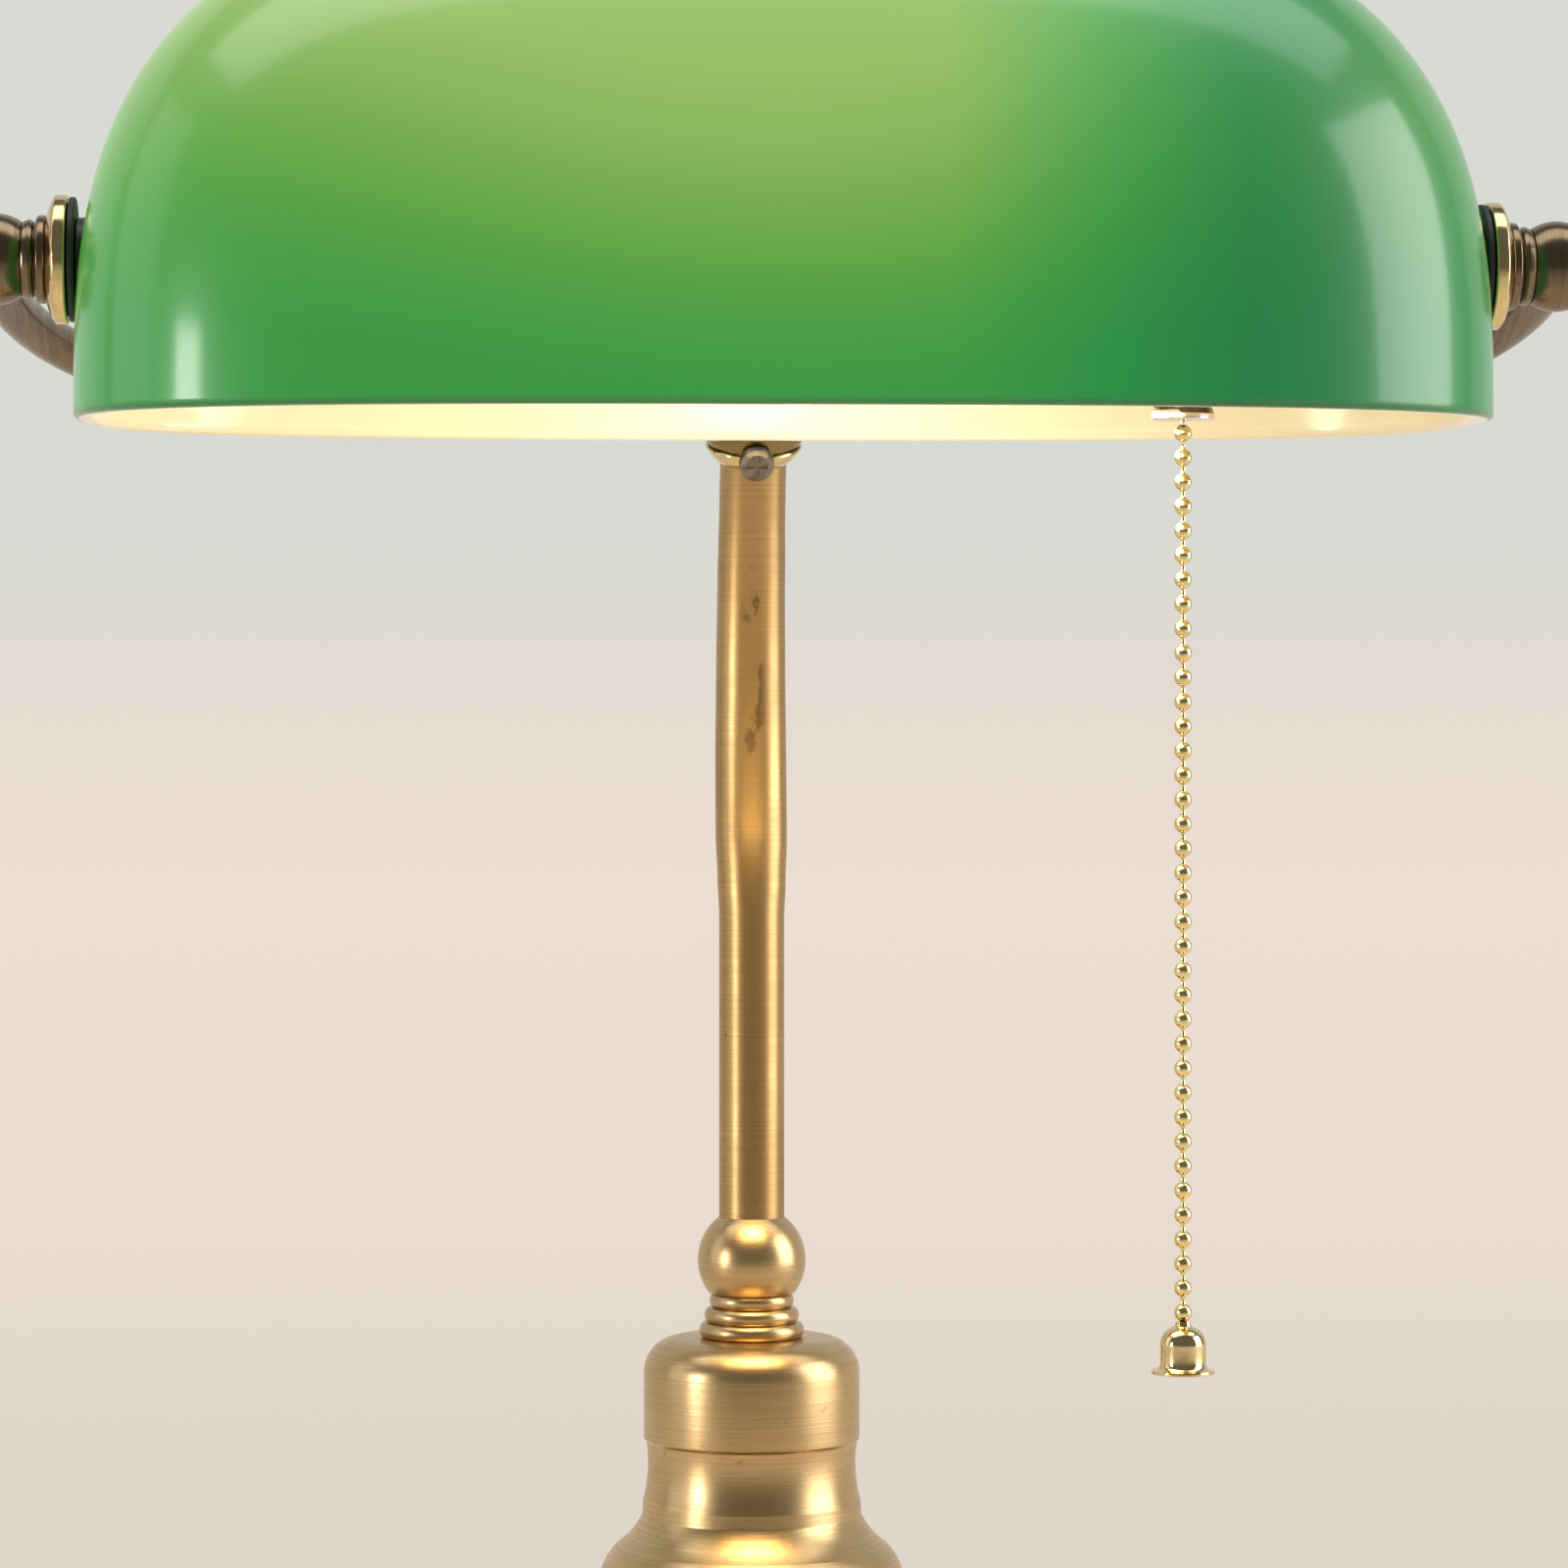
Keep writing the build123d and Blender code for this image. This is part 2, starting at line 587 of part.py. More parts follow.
SHELL_R = 13.75
write(
    turned(
        holder_plane,
        [
            (SHELL_R - 0.4, 38.0), (SHELL_R, 38.0), (SHELL_R, HOUSING_X[0]), (5.0, HOUSING_X[0]),
            (5.0, HOUSING_X[0] - 0.5), (SHELL_R - 0.4, HOUSING_X[0] - 0.5),
        ],
    ),
    "screw_shell",
)
contact_outline = [(0, 61.0), (2.8, 61.0), (3.4, HOUSING_X[0]), (0, HOUSING_X[0])]
write(turned(holder_plane, contact_outline), "centre_contact")

write(
    turned(
        spout_plane,
        [
            (2.7, 268.6), (5.3, 268.6), (5.3, 270.6), (SPOUT_R, 271.4),
            (SPOUT_R, SPOUT_TOP), (2.7, SPOUT_TOP),
        ],
    ),
    "chain_spout",
)
write(
    turned(
        spout_plane,
        [(1.0, 266.6), (3.2, 266.4), (5.55, 266.4), (5.55, 267.4), (5.2, 268.6), (1.0, 268.6)],
    ),
    "spout_ring",
)

# ---------------------------------------------------------------- pull switch
SPRING_FOOT = 268.6
SPRING_TOP = 281.4
WIRE_R = 0.22
SPRING_R = 2.0
write(
    turned(
        spout_plane,
        [
            (0, 265.9), (0.6, 265.9), (0.6, SPRING_TOP), (2.4, SPRING_TOP), (2.4, 282.6), (0.6, 282.6),
            (0.6, 291.0), (0, 291.0),
        ],
    ),
    "pull_rod",
)
with BuildPart() as switch_spring:
    with BuildLine(Plane(origin=(SPOUT_X, PIVOT_Y, SPRING_FOOT + WIRE_R + 0.02))):
        coil_pitch = (SPRING_TOP - SPRING_FOOT - 2 * WIRE_R - 0.04) / 7
        coil = Helix(pitch=coil_pitch, height=12.32, radius=SPRING_R)
    with BuildSketch(Plane(origin=coil @ 0, z_dir=coil % 0)):
        Circle(WIRE_R)
    sweep(is_frenet=True)
write(switch_spring.part, "switch_spring")


def bead_outline(centre_z):
    """Half outline of one bead: a circle with flats where its links enter."""
    bottom = (LINK_R, centre_z - BEAD_FLAT)
    top = (LINK_R, centre_z + BEAD_FLAT)
    with BuildLine() as outline:
        Line((0, centre_z - BEAD_FLAT), bottom)
        ThreePointArc(bottom, (BEAD_R, centre_z), top)
        Line(top, (0, centre_z + BEAD_FLAT))
        Line((0, centre_z + BEAD_FLAT), (0, centre_z - BEAD_FLAT))
    return outline.line


def bead(centre_z):
    """One bead of the chain."""
    with BuildPart() as ball:
        with BuildSketch(Plane(origin=spout_plane.origin, x_dir=(1, 0, 0), z_dir=(0, -1, 0))):
            add(bead_outline(centre_z))
            make_face()
        revolve(axis=Axis(spout_plane.origin, (0, 0, 1)))
    return ball.part


write(bead(TOP_BEAD_Z), "swivel_bead")

with BuildPart() as chain_beads:
    for number in range(1, BEAD_COUNT):
        add(bead(TOP_BEAD_Z - number * BEAD_PITCH))
write(chain_beads.part, "chain_beads")

# Each link is a short pin between two beads; the first keeps clear of the swivel bead.
LINK_LENGTH = BEAD_PITCH - 2 * BEAD_FLAT
with BuildPart() as chain_links:
    for number in range(1, BEAD_COUNT):
        top = TOP_BEAD_Z - (number - 1) * BEAD_PITCH - BEAD_FLAT
        short = 0.35 if number == 1 else 0.0
        with BuildSketch(spout_plane.offset(top - short)):
            Circle(LINK_R)
        extrude(amount=-(LINK_LENGTH - short))
write(chain_links.part, "chain_links")

BELL_TOP = TOP_BEAD_Z - (BEAD_COUNT - 1) * BEAD_PITCH - BEAD_FLAT
with BuildPart() as bell:
    with BuildSketch(Plane(origin=spout_plane.origin, x_dir=(1, 0, 0), z_dir=(0, -1, 0))):
        with BuildLine():
            knob = Polyline((0, BELL_TOP), (1.3, BELL_TOP), (1.5, BELL_TOP - 0.9), (2.2, BELL_TOP - 1.2))
            dome_out = ThreePointArc(knob @ 1, (3.75, BELL_TOP - 2.6), (4.1, BELL_TOP - 4.6))
            skirt = Line(dome_out @ 1, (4.1, BELL_TOP - 7.4))
            flare_out = ThreePointArc(skirt @ 1, (4.45, BELL_TOP - 8.3), (5.65, BELL_TOP - 8.7))
            lip = Line(flare_out @ 1, (5.65, BELL_TOP - 9.3))
            flare_in = ThreePointArc(lip @ 1, (4.0, BELL_TOP - 8.8), (3.4, BELL_TOP - 7.4))
            inner = Line(flare_in @ 1, (3.4, BELL_TOP - 4.6))
            dome_in = ThreePointArc(inner @ 1, (2.9, BELL_TOP - 2.9), (1.6, BELL_TOP - 1.9))
            Polyline(dome_in @ 1, (0, BELL_TOP - 1.9), (0, BELL_TOP))
        make_face()
    revolve(axis=Axis(spout_plane.origin, (0, 0, 1)))
write(bell.part, "bell")

# ---------------------------------------------------------------- bulb
BULB_TIP_X = 60.9
BULB_CAP_R = 13.0
GLOBE_R = 24.0
GLOBE_X = 1.0
GLOBE_START = 56.0         # degrees round the globe where the cone to the neck begins
NECK_X = 37.0
BULB_WALL = 0.8

write(turned(holder_plane, [(0, 59.6), (4.0, 59.6), (3.4, BULB_TIP_X), (0, BULB_TIP_X)]), "bulb_contact")
write(turned(holder_plane, [(0, 57.2), (9.0, 57.2), (4.4, 59.6), (0, 59.6)]), "bulb_insulator")

CAP_TURNS = 6
cap_outline = [
    (12.2, 56.8), (9.4, 57.2), (8.8, 57.2), (8.8, 56.6),
    (11.7, 56.2), (12.3, 36.2), (12.9, 36.2), (12.9, 38.6),
]
for turn in range(CAP_TURNS):
    start = 39.4 + 2.85 * turn
    cap_outline += [(12.4, start), (BULB_CAP_R, start + 1.4)]
write(turned(holder_plane, cap_outline), "bulb_cap")


def bulb_form(grow):
    """The bulb's glass as a solid: neck, cone and globe, its wall moved by grow."""
    with BuildPart() as form:
        with BuildSketch(Plane(origin=(0, PIVOT_Y, PIVOT_Z), x_dir=(1, 0, 0), z_dir=(0, -1, 0))):
            with BuildLine():
                neck = Line((NECK_X - grow, 0), (NECK_X - grow, 11.4 + grow))
                seal = Line(neck @ 1, (31.0, 12.6 + grow))
                globe = CenterArc((GLOBE_X, 0), GLOBE_R + grow, GLOBE_START, 180 - GLOBE_START)
                ThreePointArc(seal @ 1, (22.5, 17.0 + grow), globe @ 0)
                Line(globe @ 1, neck @ 0)
            make_face()
        revolve(axis=Axis((0, PIVOT_Y, PIVOT_Z), (1, 0, 0)))
    return form.part


with BuildPart() as bulb_glass:
    add(bulb_form(0))
    add(bulb_form(-BULB_WALL), mode=Mode.SUBTRACT)
write(bulb_glass.part, "bulb_glass")

write(
    turned(holder_plane, [(0, 20.0), (1.6, 20.0), (1.8, 30.0), (6.0, 36.1), (0, 36.1)]),
    "bulb_mount",
)
with BuildPart() as bulb_filament:
    with BuildLine(Plane(origin=(0, PIVOT_Y, PIVOT_Z), x_dir=(1, 0, 0), z_dir=(0, 0, 1))):
        wire = FilletPolyline((19.9, -1.0), (8.0, -9.0), (1.0, 0.0), (8.0, 9.0), (19.9, 1.0), radius=3.0)
    with BuildSketch(Plane(origin=wire @ 0, z_dir=wire % 0)):
        Circle(0.3)
    sweep()
write(bulb_filament.part, "bulb_filament")

# ---------------------------------------------------------------- lead inside the lamp
LEAD_END_X = 84.0
back_corner = Vector(0, 0, BEND_Z + BACK_R * math.tan(BACK / 2))
back_dir = Vector(0, math.sin(BACK), math.cos(BACK))
forward_corner = BACK_END + back_dir * (FORWARD_R * math.tan((BACK + FORWARD) / 2))
lead_points = [
    Vector(0, FOOT_R, INLET_Z),
    Vector(0, 0, INLET_Z),
    back_corner,
    forward_corner,
    HUB,
    yoke_corner(1),
    Vector(ELBOW_X, PIVOT_Y, PIVOT_Z),
    Vector(LEAD_END_X, PIVOT_Y, PIVOT_Z),
]
lead_radii = [7.0, BACK_R - 1, FORWARD_R - 1, 5.4, ARM_BEND_R, 4.4]
with BuildPart() as inner_lead:
    with BuildLine() as lead_path:
        FilletPolyline(*lead_points, radius=lead_radii)
    with BuildSketch(Plane(origin=lead_points[0], x_dir=(1, 0, 0), z_dir=(0, -1, 0))):
        Circle(LEAD_R)
    sweep()
write(inner_lead.part, "inner_lead")
lead_length = sum(edge.length for edge in lead_path.line.edges())
print("lead length", round(lead_length, 1), "radii", lead_radii)
print("lead volume", round(inner_lead.part.volume, 1))
print("section x length", round(math.pi * LEAD_R**2 * lead_length, 1))
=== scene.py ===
import json
import math

import bpy
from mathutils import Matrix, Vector


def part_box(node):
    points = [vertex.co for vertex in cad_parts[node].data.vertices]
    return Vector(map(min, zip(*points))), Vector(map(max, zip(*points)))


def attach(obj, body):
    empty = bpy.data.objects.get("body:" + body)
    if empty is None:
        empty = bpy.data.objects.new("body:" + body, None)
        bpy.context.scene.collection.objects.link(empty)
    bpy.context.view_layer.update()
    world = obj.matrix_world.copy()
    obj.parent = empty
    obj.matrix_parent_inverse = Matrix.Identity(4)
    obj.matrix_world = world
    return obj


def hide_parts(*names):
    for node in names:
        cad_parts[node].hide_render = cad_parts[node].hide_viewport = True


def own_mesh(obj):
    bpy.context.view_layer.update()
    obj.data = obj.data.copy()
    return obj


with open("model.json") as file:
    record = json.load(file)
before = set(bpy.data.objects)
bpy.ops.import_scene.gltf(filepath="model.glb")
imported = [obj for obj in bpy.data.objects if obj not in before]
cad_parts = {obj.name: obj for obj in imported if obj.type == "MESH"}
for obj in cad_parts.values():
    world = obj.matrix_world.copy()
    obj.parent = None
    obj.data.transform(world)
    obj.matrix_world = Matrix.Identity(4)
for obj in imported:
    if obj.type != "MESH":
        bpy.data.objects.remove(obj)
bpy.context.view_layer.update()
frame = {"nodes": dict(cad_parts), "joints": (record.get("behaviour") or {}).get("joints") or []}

MM = 0.001

# ---------------------------------------------------------------- places, from the frame
joints = {joint["name"]: joint for joint in frame["joints"]}
PIVOT = Vector(joints["shade_tilt"]["pos_m"])
SWIVEL = Vector(joints["chain_swing_front"]["pos_m"])
SPOUT = Vector((SWIVEL.x, SWIVEL.y, 0))
UP = Vector((0, 0, 1))
X_AXIS = Vector((1, 0, 0))
Y_AXIS = Vector((0, 1, 0))
ORIGIN = Vector((0, 0, 0))
RIM_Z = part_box("glass_shade")[0].z

# Shapes in millimetres, as the CAD has them.
SHELL_WALL = 1.6
NECK_TOP = 92.3
NECK_R = 21.0
CROWN_R = 6.6
THREAD_R = 5.05
RING_H = 2.9
RING_RADII = (10.2, 9.2, 8.2)
RING_TOP = NECK_TOP + RING_H * len(RING_RADII)
BALL_R = 10.5
BALL_Z = 107.4
BEND_Z = 174.0
BACK_R = 92.0
BACK = math.radians(10.0)
FORWARD_R = 141.0
FORWARD = math.radians(20.0)
HUB_RISE = 8.5
HUB_R = 10.2
HUB_FOOT = -4.9
COLLAR_FOOT = -8.3
STEM_R = 6.35
STEM_BORE = 5.2
STEM_FOOT = 109.0
ELBOW_X = 138.6
ELBOW_R = 8.1
ELBOW_FLAT_X = 134.0
WASHER_X = 124.5
CUP_X = 125.6
RINGS_X = 129.4
ARM_R = 4.0
ARM_BORE = 3.0
ARM_BEND_R = 75.5
GLASS_T = 3.2
BULB_X = 1.0
BULB_R = 24.0
BULB_WALL = 0.8
SPOUT_FLOOR = 268.6
SPOUT_TOP = 283.0
SPRING_TOP = 281.4
SPRING_R = 2.0
SPRING_TURNS = 7
WIRE_R = 0.22
BEAD_R = 1.6
BEAD_FLAT = 1.52
BEAD_PITCH = 4.35
BEAD_COUNT = 37
SWIVEL_GAP = 0.35

BULB_CENTRE = Vector((BULB_X * MM, PIVOT.y, PIVOT.z))
SMALL = 1e-6


# ---------------------------------------------------------------- mesh helpers
def finish_mesh(name, verts, faces, body, materials, nodes=(), sharp=35):
    """A new piece from its points and faces: shaded smooth, on its body and standing for its CAD nodes."""
    mesh = bpy.data.meshes.new(name)
    mesh.from_pydata([tuple(v) for v in verts], [], faces)
    mesh.validate()
    piece = bpy.data.objects.new(name, mesh)
    bpy.context.scene.collection.objects.link(piece)
    mesh.shade_smooth()
    mesh.set_sharp_from_angle(angle=math.radians(sharp))
    for material in materials:
        mesh.materials.append(material)
    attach(piece, body)
    if nodes:
        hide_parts(*nodes)
    return piece


def rounded(outline, radius, steps=5, closed=True):
    """The outline with each corner turned into a small arc, no larger than its two sides allow."""
    points = [Vector(p) for p in outline]
    count = len(points)
    result = []
    for i, corner in enumerate(points):
        if not closed and i in (0, count - 1):
            result.append(corner)
            continue
        before = points[i - 1] - corner
        after = points[(i + 1) % count] - corner
        if min(before.length, after.length, corner.x) < 1e-9:
            result.append(corner)
            continue
        half = before.angle(after) / 2
        if half > math.radians(86):
            result.append(corner)
            continue
        setback = min(radius / math.tan(half), 0.45 * before.length, 0.45 * after.length)
        start = corner + before.normalized() * setback
        end = corner + after.normalized() * setback
        for k in range(steps + 1):
            t = k / steps
            result.append(start * (1 - t) ** 2 + corner * 2 * t * (1 - t) + end * t**2)
    return result


def arc(start, middle, end, steps=12):
    """Points along the circle through three points, the first left out."""
    a, b, c = (complex(*p) for p in (start, middle, end))
    w = (c - a) / (b - a)
    centre = a + (b - a) * (w - abs(w) ** 2) / (2j * w.imag)
    radius = abs(a - centre)
    first = math.atan2((a - centre).imag, (a - centre).real)
    turns = []
    for p in (b, c):
        turns.append((math.atan2((p - centre).imag, (p - centre).real) - first) % (2 * math.pi))
    sweep = turns[1] if turns[0] < turns[1] else turns[1] - 2 * math.pi
    points = []
    for k in range(1, steps + 1):
        angle = first + sweep * k / steps
        points.append((centre.real + radius * math.cos(angle), centre.imag + radius * math.sin(angle)))
    return points


def lathe_rings(verts, outline, origin, axes, segments):
    """Adds an outline's rings to verts and gives their indices; a point on the axis is one vertex."""
    axis, side, third = axes
    rings = []
    for r, h in outline:
        base = origin + axis * (h * MM)
        if r < SMALL:
            verts.append(base)
            rings.append([len(verts) - 1] * segments)
            continue
        ring = []
        for k in range(segments):
            angle = 2 * math.pi * k / segments
            verts.append(base + (side * math.cos(angle) + third * math.sin(angle)) * (r * MM))
            ring.append(len(verts) - 1)
        rings.append(ring)
    return rings


def ring_faces(rings):
    """Faces from each ring to the next and from the last to the first, none along the axis."""
    faces = []
    for ring, after in zip(rings, rings[1:] + rings[:1]):
        if ring[0] == ring[1] and after[0] == after[1]:
            continue
        count = len(ring)
        for k in range(count):
            n = (k + 1) % count
            faces.append(list(dict.fromkeys([ring[k], ring[n], after[n], after[k]])))
    return faces


def turned(name, outline, origin, axis, body, material, nodes=(), segments=96, sharp=35):
    """A lathe piece: a closed outline of (radius, height) in millimetres about an axis through origin."""
    axis = axis.normalized()
    side = axis.orthogonal().normalized()
    verts = []
    rings = lathe_rings(verts, outline, origin, (axis, side, axis.cross(side)), segments)
    return finish_mesh(name, verts, ring_faces(rings), body, [material], nodes, sharp)


def joined(name, outlines, body, material, nodes, segments=24):
    """Several small turned solids about the chain's line, as one piece."""
    verts = []
    faces = []
    for outline in outlines:
        faces += ring_faces(lathe_rings(verts, outline, SPOUT, (UP, X_AXIS, Y_AXIS), segments))
    return finish_mesh(name, verts, faces, body, [material], nodes, 50)


def tube(name, stations, body, material, nodes=(), segments=48):
    """A bent tube: each station is (centre, first axis, second axis, outer radii, bore radii)."""
    verts = []
    rings = []
    outer = [(station[:3], station[3]) for station in stations]
    bore = [(station[:3], station[4]) for station in reversed(stations)]
    for (centre, first, second), (r1, r2) in outer + bore:
        ring = []
        for k in range(segments):
            angle = 2 * math.pi * k / segments
            verts.append(centre + first * (r1 * math.cos(angle)) + second * (r2 * math.sin(angle)))
            ring.append(len(verts) - 1)
        rings.append(ring)
    return finish_mesh(name, verts, ring_faces(rings), body, [material], nodes, 40)


# ---------------------------------------------------------------- material helpers
def new_material(name):
    """A new node material, with its tree and its Principled shader."""
    material = bpy.data.materials.new(name)
    material.use_nodes = True
    tree = material.node_tree
    shader = tree.nodes["Principled BSDF"]
    return material, tree, shader


def noise(tree, scale, stretch=(1, 1, 1), detail=4.0, rough=0.55, turn=(0, 0, 0)):
    """A noise over the object's own coordinates, stretched along one axis for brushed or turned marks."""
    place = tree.nodes.new("ShaderNodeTexCoord")
    mapping = tree.nodes.new("ShaderNodeMapping")
    mapping.inputs["Scale"].default_value = stretch
    mapping.inputs["Rotation"].default_value = turn
    texture = tree.nodes.new("ShaderNodeTexNoise")
    texture.inputs["Scale"].default_value = scale
    texture.inputs["Detail"].default_value = detail
    texture.inputs["Roughness"].default_value = rough
    tree.links.new(place.outputs["Object"], mapping.inputs["Vector"])
    tree.links.new(mapping.outputs["Vector"], texture.inputs["Vector"])
    return texture.outputs["Fac"]


def ramp(tree, value, stops):
    """A colour ramp: stops are (position, colour)."""
    node = tree.nodes.new("ShaderNodeValToRGB")
    elements = node.color_ramp.elements
    while len(elements) > 1:
        elements.remove(elements[-1])
    elements[0].position, elements[0].color = stops[0][0], (*stops[0][1], 1)
    for position, colour in stops[1:]:
        element = elements.new(position)
        element.color = (*colour, 1)
    tree.links.new(value, node.inputs["Fac"])
    return node.outputs["Color"]


def spread(tree, value, low, high, from_low=0.3, from_high=0.7):
    """The value moved from one range to another, and held at its ends."""
    node = tree.nodes.new("ShaderNodeMapRange")
    node.inputs["From Min"].default_value = from_low
    node.inputs["From Max"].default_value = from_high
    node.inputs["To Min"].default_value = low
    node.inputs["To Max"].default_value = high
    tree.links.new(value, node.inputs["Value"])
    return node.outputs["Result"]


def math_node(tree, operation, first, second):
    """One sum over two values, each a socket or a number."""
    node = tree.nodes.new("ShaderNodeMath")
    node.operation = operation
    for socket, value in zip(node.inputs, (first, second)):
        if isinstance(value, (int, float)):
            socket.default_value = value
        else:
            tree.links.new(value, socket)
    return node.outputs["Value"]


def add_bump(tree, shader, value, depth, strength=0.5):
    """A bump of that depth in metres on the shader."""
    bump = tree.nodes.new("ShaderNodeBump")
    bump.inputs["Strength"].default_value = strength
    bump.inputs["Distance"].default_value = depth
    tree.links.new(value, bump.inputs["Height"])
    tree.links.new(bump.outputs["Normal"], shader.inputs["Normal"])


def brass(name, light, dark, rough, marks, turn=(0, 0, 0), mark_depth=0.00004, patina=28.0):
    """Brass with tool marks along one direction, cloudy patina and small dark specks."""
    material, tree, shader = new_material(name)
    shader.inputs["Metallic"].default_value = 1.0
    lines = noise(tree, 1.0, marks, 3.0, 0.6, turn)
    cloud = noise(tree, patina, (1, 1, 1), 5.0, 0.6)
    specks = noise(tree, 420.0, (1, 1, 1), 2.0, 0.5)
    lined = math_node(tree, "MULTIPLY", lines, 0.55)
    clouded = math_node(tree, "MULTIPLY", cloud, 0.45)
    blend = math_node(tree, "ADD", lined, clouded)
    speck = spread(tree, specks, 0.0, 0.35, 0.70, 0.80)
    value = math_node(tree, "SUBTRACT", blend, speck)
    middle = tuple((a + b) / 2 for a, b in zip(light, dark))
    colour = ramp(tree, value, [(0.25, dark), (0.46, middle), (0.62, light)])
    tree.links.new(colour, shader.inputs["Base Color"])
    roughness = spread(tree, value, rough + 0.10, rough - 0.05)
    tree.links.new(roughness, shader.inputs["Roughness"])
    add_bump(tree, shader, lines, mark_depth, 0.6)
    return material


def plain(name, colour, variation, rough, metallic=0.0, scale=120.0, depth=0.00005, coat=0.0):
    """A moulded, plated or cast surface with its own grain and slight colour change."""
    material, tree, shader = new_material(name)
    grain = noise(tree, scale)
    low = tuple(c * (1 - variation) for c in colour)
    high = tuple(min(1.0, c * (1 + variation)) for c in colour)
    tree.links.new(ramp(tree, grain, [(0.3, low), (0.7, high)]), shader.inputs["Base Color"])
    tree.links.new(spread(tree, grain, rough - 0.05, rough + 0.07), shader.inputs["Roughness"])
    shader.inputs["Metallic"].default_value = metallic
    shader.inputs["Coat Weight"].default_value = coat
    add_bump(tree, shader, grain, depth, 0.5)
    return material


def distance_from(tree, centre, stretch):
    """How far a point of the piece is from a centre, with each axis weighted."""
    place = tree.nodes.new("ShaderNodeTexCoord")
    offset = tree.nodes.new("ShaderNodeVectorMath")
    offset.operation = "SUBTRACT"
    offset.inputs[1].default_value = centre
    scaled = tree.nodes.new("ShaderNodeVectorMath")
    scaled.operation = "MULTIPLY"
    scaled.inputs[1].default_value = stretch
    length = tree.nodes.new("ShaderNodeVectorMath")
    length.operation = "LENGTH"
    tree.links.new(place.outputs["Object"], offset.inputs[0])
    tree.links.new(offset.outputs["Vector"], scaled.inputs[0])
    tree.links.new(scaled.outputs["Vector"], length.inputs[0])
    return length.outputs["Value"]


def own_axis(tree, axis):
    """One of the piece's own coordinates."""
    place = tree.nodes.new("ShaderNodeTexCoord")
    split = tree.nodes.new("ShaderNodeSeparateXYZ")
    tree.links.new(place.outputs["Object"], split.inputs["Vector"])
    return split.outputs[axis]


# ---------------------------------------------------------------- glass of the shade
def shade_outside():
    """The green casing: glossy, with the bulb's light through the glass painted on as a glow, a painted
    shadow where the lampholder stands in the way, and painted shade along the rim.
    """
    material, tree, shader = new_material("shade_green_glass")
    streak = noise(tree, 9.0, (1, 1, 1), 3.0, 0.5)
    base = ramp(tree, streak, [(0.3, (0.006, 0.075, 0.018)), (0.7, (0.009, 0.095, 0.022))])
    tree.links.new(base, shader.inputs["Base Color"])
    shader.inputs["Roughness"].default_value = 0.35
    shader.inputs["Coat Weight"].default_value = 0.55
    shader.inputs["Coat Roughness"].default_value = 0.13
    shader.inputs["IOR"].default_value = 1.4
    glow_centre = (-0.004, PIVOT.y, PIVOT.z + 0.042)
    away = distance_from(tree, glow_centre, (0.62, 1.0, 1.0))
    cloudy = math_node(tree, "MULTIPLY", math_node(tree, "SUBTRACT", streak, 0.5), 0.006)
    away = math_node(tree, "ADD", away, cloudy)
    glow = ramp(
        tree,
        math_node(tree, "MULTIPLY", away, 8.0),
        [
            (0.480, (0.30, 0.47, 0.11)), (0.531, (0.25, 0.43, 0.09)), (0.576, (0.195, 0.38, 0.070)),
            (0.624, (0.130, 0.345, 0.050)), (0.660, (0.090, 0.315, 0.042)), (0.704, (0.058, 0.290, 0.042)),
            (0.760, (0.036, 0.265, 0.042)), (0.880, (0.028, 0.245, 0.045)),
        ],
    )
    holder = spread(tree, own_axis(tree, "X"), 0.0, 1.0, 0.0, 0.120)
    shadow = ramp(
        tree,
        holder,
        [
            (0.20, (1.0, 1.0, 1.0)), (0.42, (0.42, 0.82, 0.95)), (0.62, (0.14, 0.55, 0.85)),
            (0.76, (0.16, 0.50, 0.80)), (0.90, (0.50, 0.68, 0.95)),
        ],
    )
    shaded = tree.nodes.new("ShaderNodeVectorMath")
    shaded.operation = "MULTIPLY"
    tree.links.new(glow, shaded.inputs[0])
    tree.links.new(shadow, shaded.inputs[1])
    edge = tree.nodes.new("ShaderNodeVectorMath")
    edge.operation = "SCALE"
    tree.links.new(shaded.outputs["Vector"], edge.inputs[0])
    # Painted shade: the glow dims towards the rim.
    rim_shade = spread(tree, own_axis(tree, "Z"), 0.30, 1.0, RIM_Z + 0.0002, RIM_Z + 0.0016)
    tree.links.new(rim_shade, edge.inputs["Scale"])
    tree.links.new(edge.outputs["Vector"], shader.inputs["Emission Color"])
    shader.inputs["Emission Strength"].default_value = 1.0
    add_bump(tree, shader, noise(tree, 26.0, (1, 1, 1), 1.0, 0.4), 0.00012, 0.25)
    return material


def shade_inside():
    """The opal layer: cream white, with a painted glow brightest beside the bulb."""
    material, tree, shader = new_material("shade_opal_glass")
    cloud = noise(tree, 22.0)
    base = ramp(tree, cloud, [(0.3, (0.70, 0.64, 0.46)), (0.7, (0.76, 0.70, 0.52))])
    tree.links.new(base, shader.inputs["Base Color"])
    shader.inputs["Roughness"].default_value = 0.22
    shader.inputs["Coat Weight"].default_value = 0.6
    shader.inputs["Coat Roughness"].default_value = 0.06
    away = distance_from(tree, (0.0, PIVOT.y, PIVOT.z), (1.0, 1.0, 1.0))
    glow = ramp(
        tree,
        math_node(tree, "MULTIPLY", away, 7.0),
        [(0.40, (0.42, 0.39, 0.30)), (0.58, (0.19, 0.17, 0.115)), (0.95, (0.09, 0.085, 0.055))],
    )
    tree.links.new(glow, shader.inputs["Emission Color"])
    shader.inputs["Emission Strength"].default_value = 0.75
    add_bump(tree, shader, cloud, 0.0001, 0.3)
    return material


